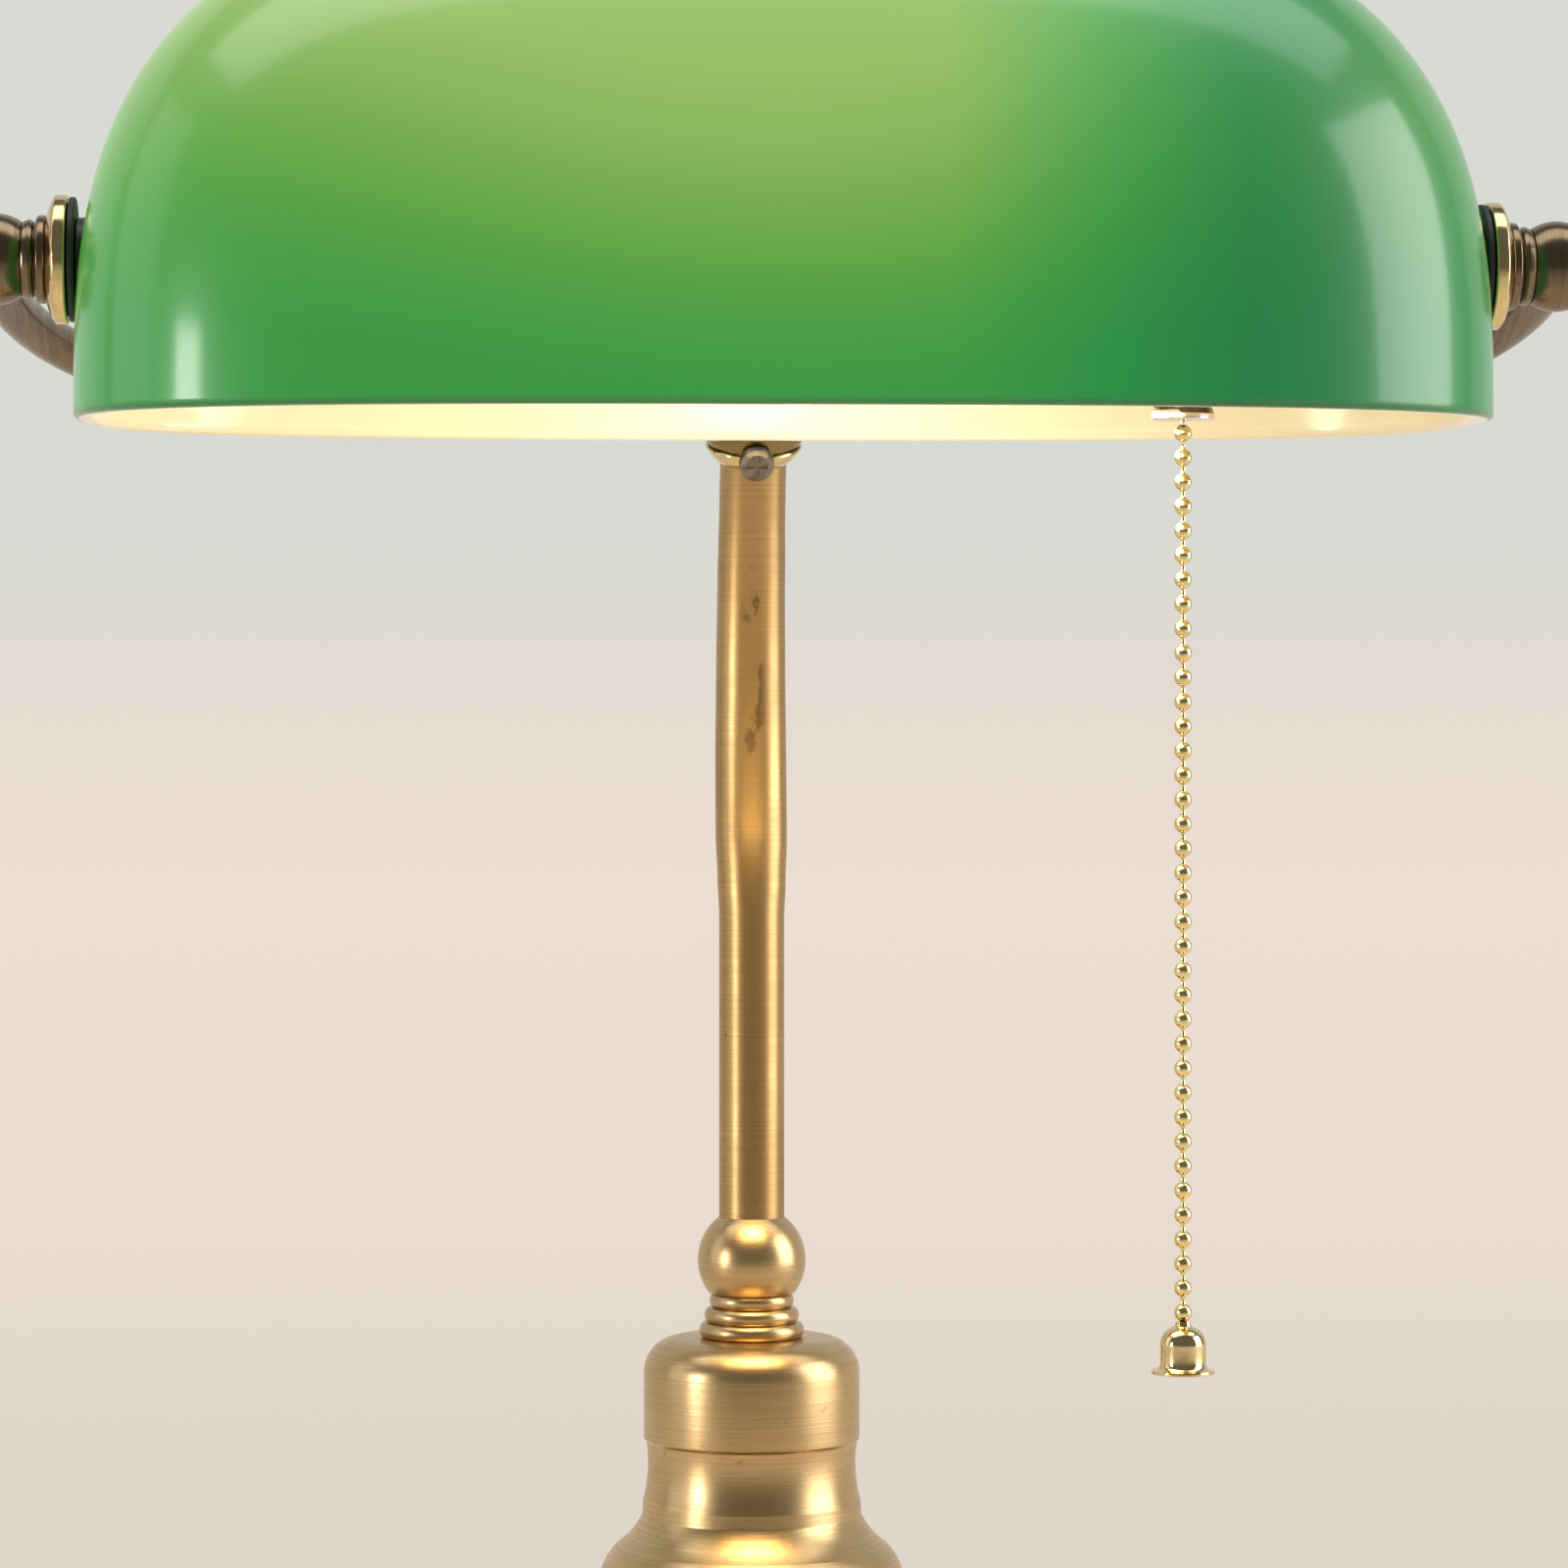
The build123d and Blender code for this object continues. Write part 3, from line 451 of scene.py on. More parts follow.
def bulb_frost():
    """Frosted bulb glass, lit: warm white, a little deeper at the neck."""
    material, tree, shader = new_material("bulb_frosted_glass")
    frost = noise(tree, 900.0)
    shader.inputs["Base Color"].default_value = (0.95, 0.92, 0.85, 1)
    tree.links.new(spread(tree, frost, 0.45, 0.6), shader.inputs["Roughness"])
    away = distance_from(tree, BULB_CENTRE, (1.0, 1.0, 1.0))
    glow = ramp(
        tree,
        math_node(tree, "MULTIPLY", away, 20.0),
        [(0.45, (1.0, 0.90, 0.66)), (0.80, (1.0, 0.74, 0.40))],
    )
    tree.links.new(glow, shader.inputs["Emission Color"])
    shader.inputs["Emission Strength"].default_value = 7.0
    add_bump(tree, shader, frost, 0.00003, 0.4)
    return material


def felt():
    """Pressed wool felt: matt, with short fibres."""
    material, tree, shader = new_material("green_felt")
    fibre = noise(tree, 1600.0, (1, 1, 0.3), 6.0, 0.7)
    colour = ramp(tree, fibre, [(0.3, (0.01, 0.04, 0.015)), (0.7, (0.03, 0.10, 0.04))])
    tree.links.new(colour, shader.inputs["Base Color"])
    shader.inputs["Roughness"].default_value = 0.95
    shader.inputs["Sheen Weight"].default_value = 0.5
    add_bump(tree, shader, fibre, 0.0004, 0.8)
    return material


def with_painted_reflection(material):
    """Dark brown blotches in a narrow strip along the middle of the upper stem, before and behind: a painted
    reflection of the dark lamp parts above the stem.
    """
    tree = material.node_tree
    shader = tree.nodes["Principled BSDF"]
    reflection_blotches = spread(tree, noise(tree, 260.0, (1, 1, 0.45), 4.0, 0.6), 0.0, 0.75, 0.54, 0.62)
    above = spread(tree, own_axis(tree, "Z"), 0.0, 1.0, 0.196, 0.212)
    below = spread(tree, own_axis(tree, "Z"), 1.0, 0.0, 0.240, 0.250)
    aside = math_node(tree, "ABSOLUTE", own_axis(tree, "X"), 0.0)
    middle = spread(tree, aside, 1.0, 0.0, 0.0012, 0.0030)
    strip = math_node(tree, "MULTIPLY", math_node(tree, "MULTIPLY", above, below), middle)
    share = math_node(tree, "MULTIPLY", reflection_blotches, strip)
    mix = tree.nodes.new("ShaderNodeMix")
    mix.data_type = "RGBA"
    mix.inputs["B"].default_value = (0.10, 0.065, 0.04, 1)
    clean = shader.inputs["Base Color"].links[0].from_socket
    tree.links.new(clean, mix.inputs["A"])
    tree.links.new(share, mix.inputs["Factor"])
    tree.links.new(mix.outputs["Result"], shader.inputs["Base Color"])
    return material


LATHE = (25, 25, 5200)
antique = brass("antique_brass_turned", (0.56, 0.40, 0.205), (0.36, 0.245, 0.115), 0.28, LATHE)
# The upper stem's brass, with dark blotches of painted reflection down its middle.
stem_brass = with_painted_reflection(
    brass(
        "antique_brass_drawn", (0.45, 0.295, 0.125), (0.27, 0.165, 0.068), 0.33, (40, 40, 4200),
        mark_depth=0.00002, patina=60.0,
    )
)
hub_brass = brass("antique_brass_hub", (0.36, 0.26, 0.12), (0.16, 0.11, 0.05), 0.20, LATHE, (-FORWARD, 0, 0))
bronze = brass("dark_bronze", (0.24, 0.175, 0.115), (0.11, 0.08, 0.045), 0.22, (1800, 40, 40), patina=45.0)
gold = brass(
    "polished_brass", (0.74, 0.60, 0.31), (0.58, 0.44, 0.20), 0.10, (900, 900, 900), mark_depth=0.000008,
)
chain_gold = brass(
    "polished_chain_brass", (0.78, 0.66, 0.36), (0.62, 0.50, 0.24), 0.16, (700, 700, 700), mark_depth=0.00001,
)
zinc = plain("zinc_plated_steel", (0.60, 0.60, 0.57), 0.12, 0.30, 1.0, 300.0, 0.00002)
dark_screw = plain("dark_plated_screw", (0.20, 0.17, 0.14), 0.4, 0.33, 1.0, 500.0, 0.00004)
iron = plain("cast_iron_weight", (0.05, 0.048, 0.045), 0.35, 0.62, 0.7, 260.0, 0.0004)
rubber = plain("black_rubber", (0.014, 0.014, 0.015), 0.3, 0.55, 0.0, 700.0, 0.00006)
nylon = plain("black_nylon", (0.03, 0.03, 0.032), 0.25, 0.40, 0.0, 500.0, 0.00003)
porcelain = plain("glazed_porcelain", (0.80, 0.77, 0.70), 0.04, 0.12, 0.0, 60.0, 0.00008, 0.8)
bakelite = plain("brown_bakelite", (0.060, 0.030, 0.020), 0.4, 0.22, 0.0, 180.0, 0.00004, 0.5)
nickel = plain("nickel_plate", (0.78, 0.72, 0.66), 0.08, 0.18, 1.0, 400.0, 0.00001)
liner_card = plain("pressed_fibre", (0.16, 0.12, 0.085), 0.3, 0.85, 0.0, 900.0, 0.0001)
thread_metal = plain("rolled_thread_metal", (0.70, 0.66, 0.58), 0.10, 0.25, 1.0, 350.0, 0.00002)
clear_glass = plain("mount_glass", (0.70, 0.74, 0.74), 0.05, 0.08, 0.0, 200.0, 0.00002, 0.6)
black_glass = plain("insulator_glass", (0.012, 0.012, 0.015), 0.3, 0.15, 0.0, 200.0, 0.00003, 0.5)
tungsten = plain("tungsten_wire", (0.40, 0.38, 0.36), 0.2, 0.35, 1.0, 900.0, 0.00001)
insulation = plain("lead_insulation", (0.05, 0.042, 0.03), 0.2, 0.35, 0.0, 300.0, 0.00003)
green_glass = shade_outside()
opal_glass = shade_inside()
frosted = bulb_frost()
felt_green = felt()

# CAD nodes whose shape stays: each gets its finish.
KEPT = {
    "felt_pad": felt_green, "base_plate": zinc, "plate_screws": zinc, "base_weight": iron,
    "cord_bushing": nylon, "neck_nipple": zinc, "neck_washer": zinc, "neck_nut": zinc,
    "hub_screw": dark_screw,
    "left_bush": nylon, "right_bush": nylon, "left_inner_washer": rubber, "right_inner_washer": rubber,
    "left_nipple": zinc, "right_nipple": zinc, "left_nut": zinc, "right_nut": zinc,
    "socket_liner": liner_card, "switch_housing": porcelain, "screw_shell": thread_metal,
    "centre_contact": nickel, "terminal_screws": dark_screw, "switch_drum": bakelite, "pull_rod": zinc,
    "bulb_cap": thread_metal, "bulb_insulator": black_glass, "bulb_contact": nickel,
    "bulb_mount": clear_glass, "bulb_filament": tungsten, "inner_lead": insulation, "socket_shell": gold,
}
for node_name, material in KEPT.items():
    mesh = frame["nodes"][node_name].data
    mesh.materials.clear()
    mesh.materials.append(material)


# ---------------------------------------------------------------- base, rings and ball
def base_outline():
    """The base shell's closed outline, outside from the foot up and inside back down."""
    outside = [(85.0, 1.0), (85.0, 11.5)]
    outside += arc((85.0, 11.5), (84.0, 14.0), (81.5, 15.0))
    outside += [(79.0, 15.0), (79.0, 17.0)]
    outside += arc((79.0, 17.0), (70.0, 21.2), (59.0, 23.2), 18)
    outside += arc((59.0, 23.2), (48.0, 25.8), (41.0, 31.0), 18)
    outside += [(41.0, 32.0)]
    outside += arc((41.0, 32.0), (43.0, 34.1), (41.0, 36.2))
    outside += [(37.0, 36.6)]
    outside += arc((37.0, 36.6), (32.0, 38.7), (29.9, 43.6))
    outside += arc((29.9, 43.6), (28.5, 49.1), (26.3, 52.0))
    outside += arc((26.3, 52.0), (22.9, 55.3), (21.3, 58.0))
    outside += [(21.2, 60.6)]
    outside += arc((21.2, 60.6), (20.2, 67.5), (20.5, 72.3))
    outside += [(NECK_R, 72.8), (NECK_R, NECK_TOP - CROWN_R)]
    diagonal = CROWN_R * (1 - math.sqrt(0.5))
    crown_foot = (NECK_R, NECK_TOP - CROWN_R)
    crown_middle = (NECK_R - diagonal, NECK_TOP - diagonal)
    outside += arc(crown_foot, crown_middle, (NECK_R - CROWN_R, NECK_TOP))
    outside += [(THREAD_R, NECK_TOP)]
    inside = [
        (THREAD_R, NECK_TOP - SHELL_WALL), (NECK_R - 6.0, NECK_TOP - SHELL_WALL), (NECK_R - 1.8, 87.0),
        (19.2, 73.0), (18.6, 67.0), (19.6, 58.0), (24.6, 51.0), (28.0, 44.0), (30.6, 38.0), (36.0, 35.0),
        (39.4, 34.0), (39.4, 30.4), (46.0, 24.8), (59.0, 21.6), (69.6, 19.6), (77.4, 15.6), (78.0, 13.4),
        (82.0, 13.0), (83.4, 11.0), (83.4, 1.0),
    ]
    return rounded(outside, 0.45, 4, closed=False) + [Vector(p) for p in inside]


def ring_outline(radii, low, height, bore):
    """Rounded rings stacked one on another."""
    points = [(bore, low)]
    for number, radius in enumerate(radii):
        foot = low + height * number
        edge = radius - 0.7
        points.append((edge, foot))
        points += arc((edge, foot), (radius, foot + height / 2), (edge, foot + height))
    points.append((bore, low + height * len(radii)))
    return points


def ball_outline(radius, centre, low, bore, top_bore, floor, steps=40):
    """A ball cut flat below, with a threaded bore below and a socket above."""
    low_angle = math.asin((low - centre) / radius)
    top_angle = math.acos(top_bore / radius)
    points = [(bore, low)]
    for k in range(steps + 1):
        angle = low_angle + (top_angle - low_angle) * k / steps
        points.append((radius * math.cos(angle), centre + radius * math.sin(angle)))
    points += [(top_bore, floor), (bore, floor)]
    return points


neck_rings = ring_outline(RING_RADII, NECK_TOP, RING_H, THREAD_R)
stem_ball = ball_outline(BALL_R, BALL_Z, RING_TOP, THREAD_R, STEM_R + 0.05, STEM_FOOT)
for name, outline, node, segments, sharp in (
    ("turned_base", base_outline(), "base_shell", 160, 30),
    ("neck_rings_turned", neck_rings, "ring_collar", 128, 60),
    ("stem_ball_turned", stem_ball, "stem_ball", 128, 30),
):
    turned(name, outline, ORIGIN, UP, "stand", antique, [node], segments, sharp)

# ---------------------------------------------------------------- bent stem
back_end = Vector((0, BACK_R * (1 - math.cos(BACK)), BEND_Z + BACK_R * math.sin(BACK)))
forward_run = Vector((0, math.cos(FORWARD) - math.cos(BACK), math.sin(FORWARD) + math.sin(BACK))) * FORWARD_R
stem_dir = Vector((0, -math.sin(FORWARD), math.cos(FORWARD)))
hub_mm = back_end + forward_run + stem_dir * HUB_RISE
HUB = hub_mm * MM


def stem_widening(z):
    """How much wider than round the tube is across X at a height: flattened in the bends."""
    knots = [
        (BEND_Z, 0.0), (181.0, 0.3), (190.0, 0.62), (203.0, 0.6), (221.0, 0.44), (239.0, 0.27), (255.0, 0.08),
        (400, 0.0),
    ]
    for (z0, w0), (z1, w1) in zip(knots, knots[1:]):
        if z0 <= z <= z1:
            t = (z - z0) / (z1 - z0)
            t = t * t * (3 - 2 * t)
            return w0 + (w1 - w0) * t
    return 0.0


def stem_station(point, lean):
    """One ring of the stem tube."""
    across = Vector((0, math.cos(lean), -math.sin(lean)))
    wide = stem_widening(point.z)
    outer = ((STEM_R + wide) * MM, STEM_R * MM)
    bore = ((STEM_BORE + wide) * MM, STEM_BORE * MM)
    return (point * MM, X_AXIS, across, outer, bore)


def stem_stations():
    """Rings up the straight foot, round both bends and into the hub."""
    stations = []
    for k in range(20):
        stations.append(stem_station(Vector((0, 0, STEM_FOOT + (BEND_Z - STEM_FOOT) * k / 20)), 0.0))
    for k in range(12):
        lean = BACK * k / 12
        y = BACK_R * (1 - math.cos(lean))
        stations.append(stem_station(Vector((0, y, BEND_Z + BACK_R * math.sin(lean))), lean))
    for k in range(41):
        lean = BACK - (BACK + FORWARD) * k / 40
        y = back_end.y + FORWARD_R * (math.cos(lean) - math.cos(BACK))
        z = back_end.z + FORWARD_R * (math.sin(BACK) - math.sin(lean))
        stations.append(stem_station(Vector((0, y, z)), lean))
    stations.append(stem_station(hub_mm + stem_dir * -4.5, -FORWARD))
    return stations


tube("bent_stem", stem_stations(), "stand", stem_brass, ["stem_tube"], 72)

# ---------------------------------------------------------------- hub
SOCKET_R = STEM_R + 0.1
HUB_GROOVE = HUB_FOOT + 0.5


def hub_outline():
    """The hub's ball: a groove at its foot, a socket for the stem, closed above."""
    points = [(SOCKET_R, HUB_FOOT), (8.2, HUB_FOOT), (8.3, HUB_FOOT + 0.1), (8.3, HUB_GROOVE)]
    start = math.asin(HUB_GROOVE / HUB_R)
    for k in range(44):
        angle = start + (math.pi / 2 - start) * k / 44
        points.append((HUB_R * math.cos(angle), HUB_R * math.sin(angle)))
    return points + [(0, HUB_R), (0, -3.0), (SOCKET_R, -3.0)]


collar_outline = [
    (SOCKET_R, COLLAR_FOOT), (7.0, COLLAR_FOOT), (8.0, -7.4), (8.8, -6.4), (9.35, -5.5), (9.3, -5.1),
    (9.0, HUB_FOOT), (SOCKET_R, HUB_FOOT),
]
turned(
    "hub_ball_turned", hub_outline(), HUB, stem_dir, "stand", hub_brass, ["hub_ball"],
    128, 30,
)
turned(
    "hub_collar_turned", rounded(collar_outline, 0.35), HUB, stem_dir, "stand", gold,
    ["hub_collar"], 128, 30,
)

# ---------------------------------------------------------------- arms, elbows and pivot fittings
to_pivot = (PIVOT - HUB).normalized()
reach = (PIVOT - HUB).length
arm_normal = X_AXIS.cross(to_pivot).normalized()
ARM_START = 6.8
ARM_INTO_ELBOW = 5.0


def arm_stations(side):
    """Rings from the hub along one arm, round its bend and into the elbow."""
    out = X_AXIS * side
    radius = ARM_BEND_R * MM
    outer = (ARM_R * MM, ARM_R * MM)
    bore = (ARM_BORE * MM, ARM_BORE * MM)
    stations = []
    straight = ELBOW_X * MM - radius
    for k in range(14):
        distance = ARM_START * MM + (straight - ARM_START * MM) * k / 14
        stations.append((HUB + out * distance, to_pivot, arm_normal, outer, bore))
    centre = HUB + out * straight + to_pivot * radius
    for k in range(49):
        angle = math.pi / 2 * k / 48
        point = centre + out * (radius * math.sin(angle)) - to_pivot * (radius * math.cos(angle))
        inward = to_pivot * math.cos(angle) - out * math.sin(angle)
        stations.append((point, inward, arm_normal, outer, bore))
    end = HUB + out * (ELBOW_X * MM) + to_pivot * (reach - ARM_INTO_ELBOW * MM)
    stations.append((end, -out, arm_normal, outer, bore))
    return stations


def elbow_outline():
    """The hollow elbow ball, its flat towards the neck rings."""
    first = math.asin((ELBOW_FLAT_X - ELBOW_X) / ELBOW_R)
    points = [(THREAD_R, ELBOW_FLAT_X)]
    for k in range(40):
        angle = first + (math.pi / 2 - first) * k / 40
        points.append((ELBOW_R * math.cos(angle), ELBOW_X + ELBOW_R * math.sin(angle)))
    points += [(0, ELBOW_X + ELBOW_R), (0, ELBOW_X + 4.8), (4.8, ELBOW_X), (THREAD_R, ELBOW_X)]
    return points


washer_outline = rounded([(THREAD_R, WASHER_X), (11.0, WASHER_X), (11.0, CUP_X), (THREAD_R, CUP_X)], 0.35)
cup_outline = rounded(
    [
        (THREAD_R, CUP_X), (9.6, CUP_X), (10.2, CUP_X + 0.5), (10.8, CUP_X + 0.1), (11.4, CUP_X + 0.4),
        (11.4, CUP_X + 2.4), (10.6, CUP_X + 3.0), (8.6, CUP_X + 3.8), (THREAD_R, RINGS_X),
    ],
    0.5,
)
rings_outline = rounded(
    [
        (THREAD_R, RINGS_X), (7.2, RINGS_X), (7.8, RINGS_X + 0.5), (7.8, RINGS_X + 1.6), (7.2, RINGS_X + 2.1),
        (6.3, RINGS_X + 2.2), (6.8, RINGS_X + 2.6), (7.1, RINGS_X + 3.2), (6.8, RINGS_X + 4.1),
        (6.5, ELBOW_FLAT_X), (THREAD_R, ELBOW_FLAT_X),
    ],
    0.4,
)
for side, name in ((-1, "left"), (1, "right")):
    out = X_AXIS * side
    tube(f"{name}_arm_bent", arm_stations(side), "stand", bronze, [f"{name}_arm"])
    fittings = [
        ("elbow_ball", elbow_outline(), "dark_brass", bronze, "elbow"),
        ("rings", rings_outline, "dark_brass", bronze, "neck_rings"),
        ("cup_turned", cup_outline, "polished_brass", gold, "cup"),
        ("washer_moulded", washer_outline, "black_rubber", rubber, "rubber_washer"),
    ]
    for ending, outline, slot, material, node in fittings:
        turned(f"{name}_{ending}", outline, PIVOT, out, "stand", material, [f"{name}_{node}"], 96, 30)

# ---------------------------------------------------------------- glass shade
shade_low, shade_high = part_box("glass_shade")
SHADE_A = (shade_high.x - shade_low.x) / 2
SHADE_B = (shade_high.y - shade_low.y) / 2
SHADE_H = shade_high.z - shade_low.z
SEAT_OUT = 0.1220
SEAT_IN = 0.1192
SEAT_R = 0.0075
SEAT_REACH = 0.004
RIM_LIFT = 0.0006


def shade_point(half_length, half_depth, height, around, share):
    """A point of the rounded-box form: around is the plan angle, share the angle up from the rim."""
    rise = math.sin(share)
    front = (1 - rise**3) ** (1 / 3)
    side = (1 - rise**2.4) ** (1 / 2.4)
    c = math.cos(around)
    s = math.sin(around)
    x = math.copysign(abs(c) ** (2 / 3), c) * half_length * front
    y = math.copysign(abs(s) ** (2 / 3), s) * half_depth * side
    return Vector((x, PIVOT.y + y, RIM_Z + rise * height))


def plan_angles(count):
    """Angles round the plan, spaced so that the points lie evenly along the oval."""
    fine = 4000
    samples = [2 * math.pi * i / fine for i in range(fine + 1)]
    points = [shade_point(SHADE_A, SHADE_B, SHADE_H, a, 0.0) for a in samples]
    lengths = [0.0]
    for before, after in zip(points, points[1:]):
        lengths.append(lengths[-1] + (after - before).length)
    angles = []
    place = 0
    for i in range(count):
        target = lengths[-1] * i / count
        while lengths[place + 1] < target:
            place += 1
        step = lengths[place + 1] - lengths[place]
        t = (target - lengths[place]) / step if step else 0.0
        angles.append(samples[place] + t * (samples[place + 1] - samples[place]))
    return angles


def shade_surface(verts, around, shares, halves, seat):
    """Adds one surface of the glass to verts: gives its rings from the rim up, and its top vertex."""
    half_length, half_depth, height = halves
    rings = []
    for share in shares:
        ring = []
        for angle in around:
            p = shade_point(half_length, half_depth, height, angle, share)
            from_axis = math.hypot(p.y - PIVOT.y, p.z - PIVOT.z)
            if from_axis < SEAT_R and abs(p.x) > seat - SEAT_REACH:
                p.x = math.copysign(seat, p.x)
            if share == 0.0:
                p.z += RIM_LIFT
            verts.append(p)
            ring.append(len(verts) - 1)
        rings.append(ring)
    verts.append(Vector((0, PIVOT.y, RIM_Z + height)))
    return rings, len(verts) - 1


def surface_faces(rings, top):
    """Faces between a surface's rings and round its top vertex, facing outwards."""
    faces = []
    count = len(rings[0])
    for ring, above in zip(rings, rings[1:]):
        for k in range(count):
            n = (k + 1) % count
            faces.append([ring[k], ring[n], above[n], above[k]])
    for k in range(count):
        faces.append([rings[-1][k], rings[-1][(k + 1) % count], top])
    return faces


def build_shade():
    """Outside and inside surfaces joined by a rounded rim: green casing outside, opal inside."""
    around = plan_angles(240)
    rows = 64
    shares = [math.pi / 2 * (i / rows) ** 1.05 for i in range(rows)]
    glass = GLASS_T * MM
    outside = (SHADE_A, SHADE_B, SHADE_H)
    inside = (SHADE_A - glass, SHADE_B - glass, SHADE_H - glass)
    verts = []
    outer_rings, outer_top = shade_surface(verts, around, shares, outside, SEAT_OUT)
    inner_rings, inner_top = shade_surface(verts, around, shares, inside, SEAT_IN)
    outer_faces = surface_faces(outer_rings, outer_top)
    inner_faces = [face[::-1] for face in surface_faces(inner_rings, inner_top)]
    faces = outer_faces + inner_faces
    layers = [0] * len(outer_faces) + [1] * len(inner_faces)
    rim_rings = [outer_rings[0]]
    for t, drop in ((0.12, 0.0004), (0.3, 0.0006), (0.5, 0.0006), (0.7, 0.0006), (0.88, 0.0004)):
        ring = []
        for outer, inner in zip(outer_rings[0], inner_rings[0]):
            verts.append(verts[outer].lerp(verts[inner], t) - UP * drop)
            ring.append(len(verts) - 1)
        rim_rings.append(ring)
    rim_rings.append(inner_rings[0])
    count = len(around)
    for number, (ring, after) in enumerate(zip(rim_rings, rim_rings[1:])):
        for k in range(count):
            n = (k + 1) % count
            faces.append([ring[n], ring[k], after[k], after[n]])
            layers.append(0 if number < 2 else 1)
    glasses = [green_glass, opal_glass]
    piece = finish_mesh(
        "cased_glass_shade", verts, faces, "shade", glasses, ["glass_shade"], 50,
    )
    for polygon, layer in zip(piece.data.polygons, layers):
        polygon.material_index = layer


build_shade()

# ---------------------------------------------------------------- lampholder
cap_outline = [
    (THREAD_R, 102.0), (8.2, 102.0), (8.2, 98.4), (11.0, 97.6), (14.4, 95.2), (16.4, 91.8), (17.7, 88.0),
    (17.7, 86.0), (17.1, 86.0), (17.1, 88.0), (15.6, 91.4), (13.8, 94.2), (10.6, 96.4), (THREAD_R, 97.0),
]
turned(
    "socket_cap_spun", rounded(cap_outline, 0.8), PIVOT, X_AXIS, "stand", gold,
    ["socket_cap"],
)
spout_outline = [
    (2.7, SPOUT_FLOOR), (5.3, SPOUT_FLOOR), (5.3, SPOUT_FLOOR + 2.0), (4.0, SPOUT_FLOOR + 2.8),
    (4.0, SPOUT_TOP), (2.7, SPOUT_TOP),
]
turned(
    "chain_spout_moulded", rounded(spout_outline, 0.25), SPOUT, UP, "stand", bakelite,
    ["chain_spout"], 64,
)
end_ring_outline = [
    (1.0, SPOUT_FLOOR - 2.0), (3.2, SPOUT_FLOOR - 2.2), (5.55, SPOUT_FLOOR - 2.2), (5.55, SPOUT_FLOOR - 1.2),
    (5.2, SPOUT_FLOOR), (1.0, SPOUT_FLOOR),
]
end_ring = turned(
    "spout_end_ring", rounded(end_ring_outline, 0.2), SPOUT, UP, "stand", nickel,
    ["spout_ring"], 64,
)
# The step above the bright flange is as dark as the spout.
end_ring.data.materials.append(bakelite)
for polygon in end_ring.data.polygons:
    if polygon.center.z > (SPOUT_FLOOR - 1.15) * MM:
        polygon.material_index = 1


# ---------------------------------------------------------------- return spring
def build_spring():
    """The coil under the pull rod's flange, from the spout's floor up; it rides with the pull rod."""
    steps = SPRING_TURNS * 36
    sides = 12
    low = SPOUT_FLOOR + WIRE_R + 0.02
    high = SPRING_TOP - WIRE_R - 0.02
    verts = []
    for i in range(steps + 1):
        angle = 2 * math.pi * SPRING_TURNS * i / steps
        out = Vector((math.cos(angle), math.sin(angle), 0))
        centre = SPOUT + out * (SPRING_R * MM) + UP * ((low + (high - low) * i / steps) * MM)
        for k in range(sides):
            around = 2 * math.pi * k / sides
            verts.append(centre + (out * math.cos(around) + UP * math.sin(around)) * (WIRE_R * MM))
    faces = []
    for start in range(0, steps * sides, sides):
        for k in range(sides):
            n = (k + 1) % sides
            faces.append([start + k, start + n, start + sides + n, start + sides + k])
    faces.append(list(range(sides))[::-1])
    faces.append([steps * sides + k for k in range(sides)])
    spring = finish_mesh("return_spring", verts, faces, "pull", [zinc], ["switch_spring"], 50)
    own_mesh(spring)


build_spring()


# ---------------------------------------------------------------- pull chain
def bead_points(centre):
    """One bead's outline: a ball cut flat above and below, where the links enter."""
    first = math.asin(BEAD_FLAT / BEAD_R)
    points = [(0, centre - BEAD_FLAT)]
    for k in range(17):
        angle = -first + 2 * first * k / 16
        points.append((BEAD_R * math.cos(angle), centre + BEAD_R * math.sin(angle)))
    points.append((0, centre + BEAD_FLAT))
    return points


top_bead = SWIVEL.z / MM
joined("swivel_bead_round", [bead_points(top_bead)], "swivel", chain_gold, ["swivel_bead"])
bead_centres = [top_bead - number * BEAD_PITCH for number in range(1, BEAD_COUNT)]
beads = [bead_points(centre) for centre in bead_centres]
joined("ball_chain", beads, "chain", chain_gold, ["chain_beads"])
links = []
for centre in bead_centres:
    high = centre + BEAD_PITCH - BEAD_FLAT - (SWIVEL_GAP if centre == bead_centres[0] else 0.0)
    low = centre + BEAD_FLAT
    links.append([(0, low), (0.5, low), (0.42, low + 0.3), (0.42, high - 0.3), (0.5, high), (0, high)])
joined("chain_link_pins", links, "chain", chain_gold, ["chain_links"], 12)


def bell_outline(top):
    """The bell on the chain's end: knob, shoulder and flared lip outside, hollow inside."""
    points = [(0, top), (1.3, top), (1.5, top - 0.9), (2.2, top - 1.2)]
    points += arc((2.2, top - 1.2), (3.75, top - 2.6), (4.1, top - 4.6), 14)
    points += [(4.1, top - 7.4)]
    points += arc((4.1, top - 7.4), (4.45, top - 8.3), (5.62, top - 8.7), 10)
    points += [(5.65, top - 9.0), (5.62, top - 9.3)]
    points += arc((5.62, top - 9.3), (4.0, top - 8.8), (3.4, top - 7.4), 10)
    points += [(3.4, top - 4.6)]
    points += arc((3.4, top - 4.6), (2.9, top - 2.9), (1.6, top - 1.9))
    return points + [(0, top - 1.9)]


bell = bell_outline(bead_centres[-1] - BEAD_FLAT)
turned("bell_pull", bell, SPOUT, UP, "chain", gold, ["bell"], 72)


